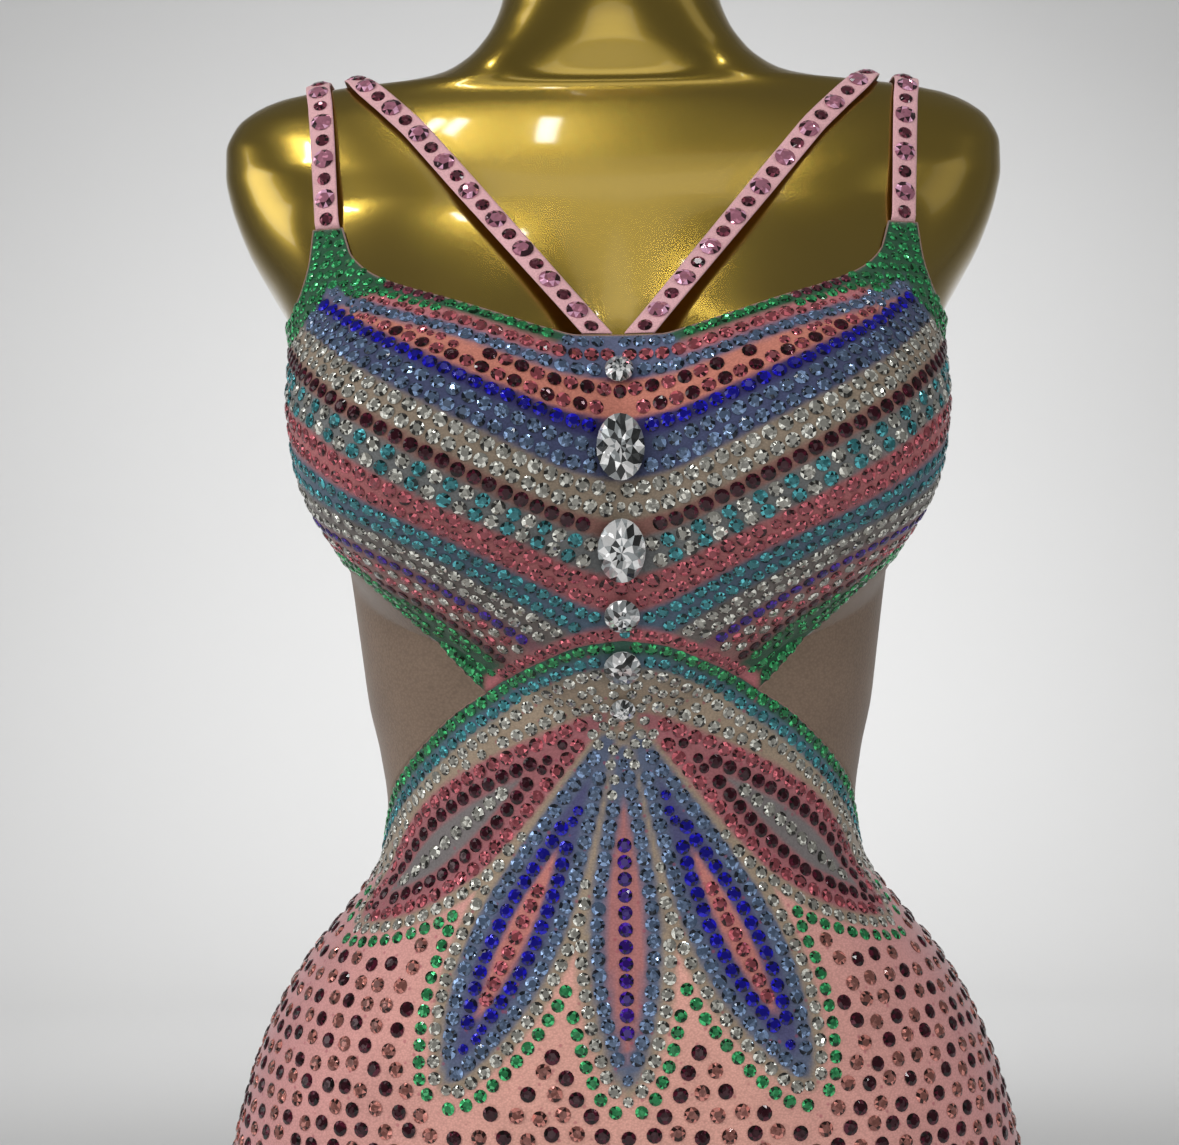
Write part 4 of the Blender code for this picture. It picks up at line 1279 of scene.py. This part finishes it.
# The height above which the body only narrows, and how far below a crest its normals are read
SHOULDER, BELOW_CREST = 720, 0.5
# Each strap's path up the front as height and x, where it crosses the shoulder, and its back end
STRAPS = {
    "outer": (((HORN_HEIGHT, 127), (745, 133)), 136, 118),
    "inner": (((632.6, 9.2), (656, 22.5), (680, 41), (707, 66), (738, 95)), 119, 42),
}
# Across the ribbon: where, as a share of its half width, and how far below its top
RIBBON_ACROSS = np.array([-1, -0.86, -0.4, 0, 0.4, 0.86, 1])
RIBBON_DROP = np.array([0.22, 0, 0, 0, 0, 0, 0.22])
RIBBON_WALL = 0.9
# Stones along a strap, taken in turn, as kind and radius: their pitch, the first one's place, the
# length that has none, and how unevenly they are glued on
STRAP_STONES = (("dark_rose", 3.2), ("strap_pink", 4.8))
STRAP_STONE_STEP, STRAP_FIRST_STONE, STRAP_BARE, STRAP_JITTER = 10.6, 4.5, 8, 0.15


def crest_height(x):
    """How high the top of the shoulder is at this x."""
    return float(bisected(lambda h: section_at(h)[..., 0] > x, SHOULDER, NECK_TOP))


def pulled_tight(points):
    """The points of a string drawn tight over the body: those in a dip are left out."""
    kept = []
    for point in points:
        while len(kept) > 1:
            along, onward = kept[-1] - kept[-2], point - kept[-1]
            if along[1] * onward[2] - along[2] * onward[1] < 0:
                break
            kept.pop()
        kept.append(point)
    return np.array(kept)


def rise_over(start, path, crest, behind):
    """Points that lie on the form from a start height up to its crest, close together at the top."""
    share = np.arange(1, STRAP_SAMPLES) / STRAP_SAMPLES
    height = start + (crest - start) * np.sin(0.5 * np.pi * share)
    angle = angle_at(smooth_table(path)(height), height, form_surface, behind)
    return list(lifted(angle, height, STRAP_GAP + STRAP_WALL / 2, form_surface))


def strap_line(front_path, crest_x, back_x):
    """The centre line on the wearer's left: up the front, over the shoulder and down the back."""
    middle = CLOTH_GAP + STRAP_WALL / 2
    crest = crest_height(crest_x)
    start = front_path[0][0] + STRAP_END_GAP
    front = [lifted(angle_at(front_path[0][1], start), start, middle)]
    front += rise_over(start, front_path + ((crest, crest_x),), crest, behind=False)
    back_angle = angle_at(back_x, BAND_TOP, behind=True)
    aside = math.degrees(STRAP_WIDTH / 2 / back_x)
    end = float(max(bodice_top(back_angle - aside), bodice_top(back_angle + aside))) + STRAP_END_GAP
    back = [lifted(back_angle, end, middle)]
    back += rise_over(end, ((end, back_x), (crest, crest_x)), crest, behind=True)
    points = pulled_tight(front + back[::-1])
    run = run_of(points)
    return at_run(np.linspace(0, run[-1], STRAP_SPANS + 1), run, points)


def nearest_normal(point):
    """The form's normal at the place on it that lies beside this point."""
    height = min(point[2], crest_height(abs(point[0])) - BELOW_CREST)
    section = section_at(height)
    behind = point[1] > (section[2] - section[1]) / 2
    return normal_at(form_surface, angle_at(abs(point[0]), height, form_surface, behind), height)


def strap_frames(line, length):
    """At each point of the line: the way along, outward, and to the strap's edge."""
    last = len(line) - 1
    frames = []
    for k, point in enumerate(line):
        along = unit(line[min(k + 1, last)] - line[max(k - 1, 0)])
        out = nearest_normal(point)
        out = unit(out - along * np.dot(out, along))
        square = unit(np.cross(along, out))
        level_cut = unit(np.cross(out, (0, 0, 1)))
        level_cut = level_cut if np.dot(level_cut, square) > 0 else -level_cut
        share = max(0.0, 1 - min(k, last - k) * length / last / STRAP_TURN_LENGTH)
        across = unit(square * (1 - share) + level_cut * share)
        half = across * (STRAP_WIDTH / 2 / np.linalg.norm(np.cross(across, along)))
        frames.append((along, out, half))
    return frames


def strap_stones(line, frames, length, flip):
    """Small dark and large pink stones in turn along a strap."""
    stones = []
    for n in range(int((length - STRAP_BARE) // STRAP_STONE_STEP) + 1):
        at = (STRAP_FIRST_STONE + n * STRAP_STONE_STEP) / length * STRAP_SPANS
        k = min(int(at), STRAP_SPANS - 1)
        along, out, _ = frames[min(k + 1, STRAP_SPANS)] if at - k > 0.5 else frames[k]
        point = line[k] + (line[k + 1] - line[k]) * (at - k) + out * (STRAP_WALL / 2 - SEATED)
        kind, radius = STRAP_STONES[n % len(STRAP_STONES)]
        place = (point + np.cross(along, out) * rng.normal(0, STRAP_JITTER)) * flip
        stones.append((place, out * flip, along * flip, radius, kind))
    return stones


def build_straps():
    ribbon = cloth_material("strap_ribbon", RIBBON_COLOUR, knit=1400.0)
    seat = (STRAP_WALL - RIBBON_WALL) / 2
    stones = []
    for name, path in STRAPS.items():
        line = strap_line(*path)
        length = run_of(line)[-1]
        frames = strap_frames(line, length)
        points = np.concatenate([
            point + half * RIBBON_ACROSS[:, None] + out * (seat - RIBBON_DROP)[:, None]
            for point, (_, out, half) in zip(line, frames)
        ])
        for side, side_name in ((1, "left"), (-1, "right")):
            flip = np.array([side, 1, 1])
            faces = grid_faces(len(line), len(RIBBON_ACROSS))[:, ::side]
            piece = make_object(f"ribbon_{name}_{side_name}", points * flip, faces, [ribbon])
            add_wall(piece, RIBBON_WALL)
            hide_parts(f"strap_{name}_{side_name}")
            stones += strap_stones(line, frames, length, flip)
    stones_mesh("stones_straps", stones)


# The large clear stones down the centre front: height, width, length, depth

GEMS = {
    "gem_1_round": (616, 12, 12, 5.0), "gem_2_oval": (585, 20, 28, 6.5),
    "gem_3_oval": (544.5, 20, 28, 6.5), "gem_4_round": (517, 15, 15, 5.5),
    "gem_5_round": (494.5, 16, 16, 5.5), "gem_6_round": (475.5, 11, 11, 4.5),
}
GEM_GAP, GEM_SEAT_STEPS, GEM_SIDES = 0.7, 4, 12
# The round guards along an oval stone, and how far small stones may reach under a large one's rim
OVAL_GUARDS, GUARD_OVERLAP = 5, 0.6


def set_gem_guards():
    """Keeps stones out from under the large ones."""
    for height, width, length, _ in GEMS.values():
        reach = (length - width) / 2
        for offset in np.linspace(-reach, reach, OVAL_GUARDS if reach else 1):
            field.add(lifted(0.0, height + offset, STONE_SEAT), width / 2 - GUARD_OVERLAP)


def gem_seat(height, width, length):
    """Where a stone's back lies, clear of the cloth behind it, and its upward and outward directions."""
    heights = np.array([height, height + length / 2, height - length / 2])
    seat, top, bottom = lifted(np.zeros(3), heights, STONE_SEAT)
    rise = unit(top - bottom)
    out = np.cross((1, 0, 0), rise)
    rows, columns = np.meshgrid(
        height + length / 2 * np.arange(-GEM_SEAT_STEPS, GEM_SEAT_STEPS + 1) / GEM_SEAT_STEPS,
        width / 2 * np.arange(GEM_SEAT_STEPS + 1) / GEM_SEAT_STEPS,
    )
    under = lifted(angle_at(columns, rows), rows, STONE_SEAT)
    clear = max(0.0, float(((under - seat) @ out).max()))
    return seat + out * (clear + GEM_GAP), rise, out


def gem_shape():
    """A brilliant cut with a flat back, 1 in radius and 1 deep: points and faces."""
    sides, around = GEM_SIDES, 2 * GEM_SIDES
    star, girdle, under, back, inner = sides, 2 * sides, 4 * sides, 6 * sides, 8 * sides
    points = np.concatenate([
        ring(sides, 0.5, 1.0), ring(sides, 0.76, 0.78, 0.5), ring(around, 1.0, 0.42),
        ring(around, 1.0, 0.3), ring(around, 0.9, 0.0), ring(sides, 0.24, 1.0, 0.5), [(0, 0, 1.0)],
    ])
    centre = len(points) - 1
    faces = []
    # The flat table is cut into facets only to carry painted shades, standing in for the back facets seen
    # through it
    for k in range(sides):
        after, before = (k + 1) % sides, (k - 1) % sides
        even, odd, next_even = girdle + 2 * k, girdle + 2 * k + 1, girdle + (2 * k + 2) % around
        faces += [
            (k, after, inner + k), (k, inner + k, inner + before), (inner + before, inner + k, centre),
            (k, star + k, after), (k, star + before, even, star + k),
            (star + k, even, odd), (star + k, odd, next_even),
        ]
    faces += belt(under, girdle, around) + belt(back, under, around)
    faces.append(tuple(range(back, back + around))[::-1])
    return points, faces


def build_gems():
    points, faces = gem_shape()
    first = list(STONE_KINDS).index("gem") * len(FACET_PAINTED_SHADES)
    shades = stone_materials[first:first + len(FACET_PAINTED_SHADES)]
    for name, (height, width, length, depth) in GEMS.items():
        place, rise, out = gem_seat(height, width, length)
        shaped = (
            place
            + points[:, :1] * width / 2 * np.array([1.0, 0, 0])
            + points[:, 1:2] * length / 2 * rise
            + points[:, 2:] * depth * out
        )
        # Each facet takes a painted shade at random, as painted dark reflections and glints
        shade = rng.choice(len(FACET_PAINTED_SHADES), len(faces), p=GEM_PAINTED_SHARES)
        stone = make_object(
            f"crystal_{name}", shaped, faces, shades, smooth=False, face_material=shade
        )
        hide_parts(name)


# Turned edges and sewing

# Round cords, and how closely their points follow an edge, in degrees
ROLL_RADIUS, ROLL_SIDES, ROLL_STEP = 0.45, 6, 0.7
STITCH_RADIUS, STITCH_SIDES, STITCH_STEP = 0.28, 4, 0.5
# The stitches: how long, how far apart, how far above the hem, and the first one's place
STITCH_LENGTH, STITCH_PITCH, STITCH_LINE, STITCH_START = 2.2, 3.4, 5.5, 1.0
# How far stitches keep from the side seams, in degrees
STITCH_FROM_SEAM = 0.5
# Along a stitch, and how far it stands out of the cloth there
STITCH_SHARES = np.array([0, 0.25, 0.5, 0.75, 1])
STITCH_RISES = np.array([-0.35, 0.0, 0.08, 0.0, -0.35])
STITCH_SEAT = STONE_SEAT + 0.1


def edge_points(edge, start, end, step=ROLL_STEP, shift=0.0, out=SHEET_MIDDLE):
    angle = spread((start, step), (end, step))
    height = edge(angle)
    if shift:
        angle, height = inset_line(angle, height, shift)
    return lifted(angle, height, out), normal_at(cloth_surface, angle, height)


def tubes_mesh(name, lines, radius, sides, material):
    """Round cords along (points, normals) lines, joined in one mesh."""
    turn = 2 * np.pi * np.arange(sides) / sides
    all_points, all_faces, first = [], [], 0
    for points, normals in lines:
        tangent = unit(np.gradient(points, axis=0))
        aside = unit(np.cross(tangent, normals))
        upward = np.cross(aside, tangent)
        rings = (
            points[:, None]
            + radius * aside[:, None] * np.cos(turn)[:, None]
            + radius * upward[:, None] * np.sin(turn)[:, None]
        )
        all_points.append(rings.reshape(-1, 3))
        all_faces += [tuple(np.array(face) + first) for face in capped_faces(len(points), sides)]
        first += len(points) * sides
    make_object(name, np.concatenate(all_points), all_faces, [material])


def hem_stitches(start, end):
    """Short raised stitches that follow the hem."""
    ends = start + STITCH_FROM_SEAM, end - STITCH_FROM_SEAM
    points, normals = edge_points(hem, *ends, STITCH_STEP, STITCH_LINE, STITCH_SEAT)
    run = run_of(points)
    lines = []
    for begin in np.arange(STITCH_START, run[-1] - STITCH_LENGTH, STITCH_PITCH):
        at = begin + STITCH_LENGTH * STITCH_SHARES
        out = unit(at_run(at, run, normals))
        lines.append((at_run(at, run, points) + out * STITCH_RISES[:, None], out))
    return lines


def build_edges():
    """Rolled edges where cloth ends, and a row of stitches along the hem."""
    far_side = 360 - SIDE
    rolls = (
        (bodice_top, -SIDE, -HORN_OUTER), (bodice_top, -HORN_INNER, HORN_INNER),
        (bodice_top, HORN_OUTER, SIDE), (bodice_top, SIDE, far_side),
        (hem, -SIDE, SIDE), (hem, SIDE, far_side),
        (bodice_top, HORN_INNER, HORN_OUTER), (bodice_bottom, TIP, SIDE), (skirt_top, TIP, SIDE),
        (bodice_top, -HORN_OUTER, -HORN_INNER), (bodice_bottom, -SIDE, -TIP), (skirt_top, -SIDE, -TIP),
        (bodice_bottom, SIDE, far_side), (skirt_top, SIDE, far_side),
    )
    binding = cloth_material("edge_binding", EDGE_COLOUR, knit=1500.0)
    thread = cloth_material("thread", THREAD_COLOUR, knit=2600.0)
    tubes_mesh("rolled_edges", [edge_points(*roll) for roll in rolls], ROLL_RADIUS, ROLL_SIDES, binding)
    stitches = hem_stitches(-SIDE, SIDE) + hem_stitches(SIDE, far_side)
    tubes_mesh("hem_stitches", stitches, STITCH_RADIUS, STITCH_SIDES, thread)


# The dress's cloth pieces

# How far round, in degrees, the dyes run into each other
PRINT_BLUR = 0.35
FRONT_STEP, BACK_STEP = 0.9, 1.0
# Half the gap between the panels at the side seams, in degrees
SEAM_HALF = 0.05
FRONT_STOPS = (0, TIP, HORN_INNER, HORN_OUTER, 60, SIDE - SEAM_HALF)
BACK_STOPS = (SIDE + SEAM_HALF, 180, 360 - SIDE - SEAM_HALF)
# Rows of the skirt's front stand closer together where the leaves are
SKIRT_FRONT_SHARES = np.concatenate([np.linspace(0, 0.55, 26), np.linspace(0.55, 1, 105)[1:]])
# Rows in which a piece's cut is measured
CUT_ROWS = 60


def cloth_panel(name, cloth, angles, bottom, top, rows, node, colour_of):
    """A thin sheet between two edge lines. It replaces the solid of the same piece."""
    slot, material = cloth
    shares = np.linspace(0, 1, rows) if isinstance(rows, int) else rows
    low, high = bottom(angles)[None, :], top(angles)[None, :]
    height = low + (high - low) * shares[:, None]
    angle = np.broadcast_to(angles, height.shape)
    points = lifted(angle, height, SHEET_MIDDLE).reshape(-1, 3)
    piece = make_object(name, points, grid_faces(*height.shape), [material])
    if colour_of is not None:
        colours = np.ones((height.size, 4), np.float32)
        colours[:, :3] = np.mean([
            colour_of(angle.ravel() + PRINT_BLUR * turn, height.ravel() + 2 * PRINT_BLUR * up)
            for turn in (-1, 0, 1)
            for up in (-1, 0, 1)
        ], axis=0)
        layer = piece.data.color_attributes.new("print", "FLOAT_COLOR", "POINT")
        layer.data.foreach_set("color", colours.ravel())
    add_wall(piece, SHEET_WALL)
    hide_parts(node)
    return piece


def developed(angles, bottom, top):
    """The cut of a piece in metres: its width and length laid flat, and its area."""
    low, high = bottom(angles), top(angles)
    points = cloth_surface(angles[None, :], low + (high - low) * np.linspace(0, 1, CUT_ROWS)[:, None])
    across = np.linalg.norm(np.diff(points, axis=1), axis=2)
    up = np.linalg.norm(np.diff(points, axis=0), axis=2)
    area = float((0.25 * (across[1:] + across[:-1]) * (up[:, 1:] + up[:, :-1])).sum()) * MM**2
    width, length = across.sum(axis=1).max() * MM, up.sum(axis=0).max() * MM
    return width, length, min(area, width * length)


def build_cloth():
    printed = "printed_cloth", cloth_material("printed_knit", sheen=0.3)
    pink = "pink_mesh", cloth_material("pink_knit", alpha=0.9, specks=0.5, sheen=0.55)
    net = "nude_mesh", cloth_material("nude_net", NET_COLOUR, alpha=0.86, sheen=0.35, knit=700.0)
    half = spread(*((stop, FRONT_STEP) for stop in FRONT_STOPS))
    front = np.concatenate([-half[:0:-1], half])
    back = spread(*((stop, BACK_STEP) for stop in BACK_STOPS))
    cut = half[half >= TIP]
    # Name, slot and material, angles, lower and upper edge, rows, node, dye
    panels = (
        ("bodice", printed, front, bodice_bottom, bodice_top, 80, "bodice_front", bodice_dye),
        ("back_band_cloth", printed, back, bodice_bottom, bodice_top, 36, "back_band", bodice_dye),
        ("skirt_front_cloth", pink, front, hem, skirt_top, SKIRT_FRONT_SHARES, "skirt_front", skirt_colour_with_painted_glow),
        ("skirt_back_cloth", pink, back, hem, skirt_top, 70, "skirt_back", skirt_colour_with_painted_glow),
        ("side_net_left", net, cut, skirt_top, bodice_bottom, 40, "side_mesh_left", None),
        ("side_net_right", net, -cut[::-1], skirt_top, bodice_bottom, 40, "side_mesh_right", None),
        ("back_net", net, back, skirt_top, bodice_bottom, 60, "back_mesh", None),
    )
    for name, cloth, angles, bottom, top, rows, node, dye in panels:
        piece = cloth_panel(name, cloth, angles, bottom, top, rows, node, dye)
        width, length, area = developed(angles, bottom, top)


# The whole scene

build_camera()
build_stage()
build_light()
build_form()
build_cloth()
build_straps()
build_gems()
build_edges()
set_gem_guards()
set_bodice_stones()
set_back_band_stones()
set_skirt_stones()
for group, stones in field.groups.items():
    stones_mesh(f"stones_{group}", stones)
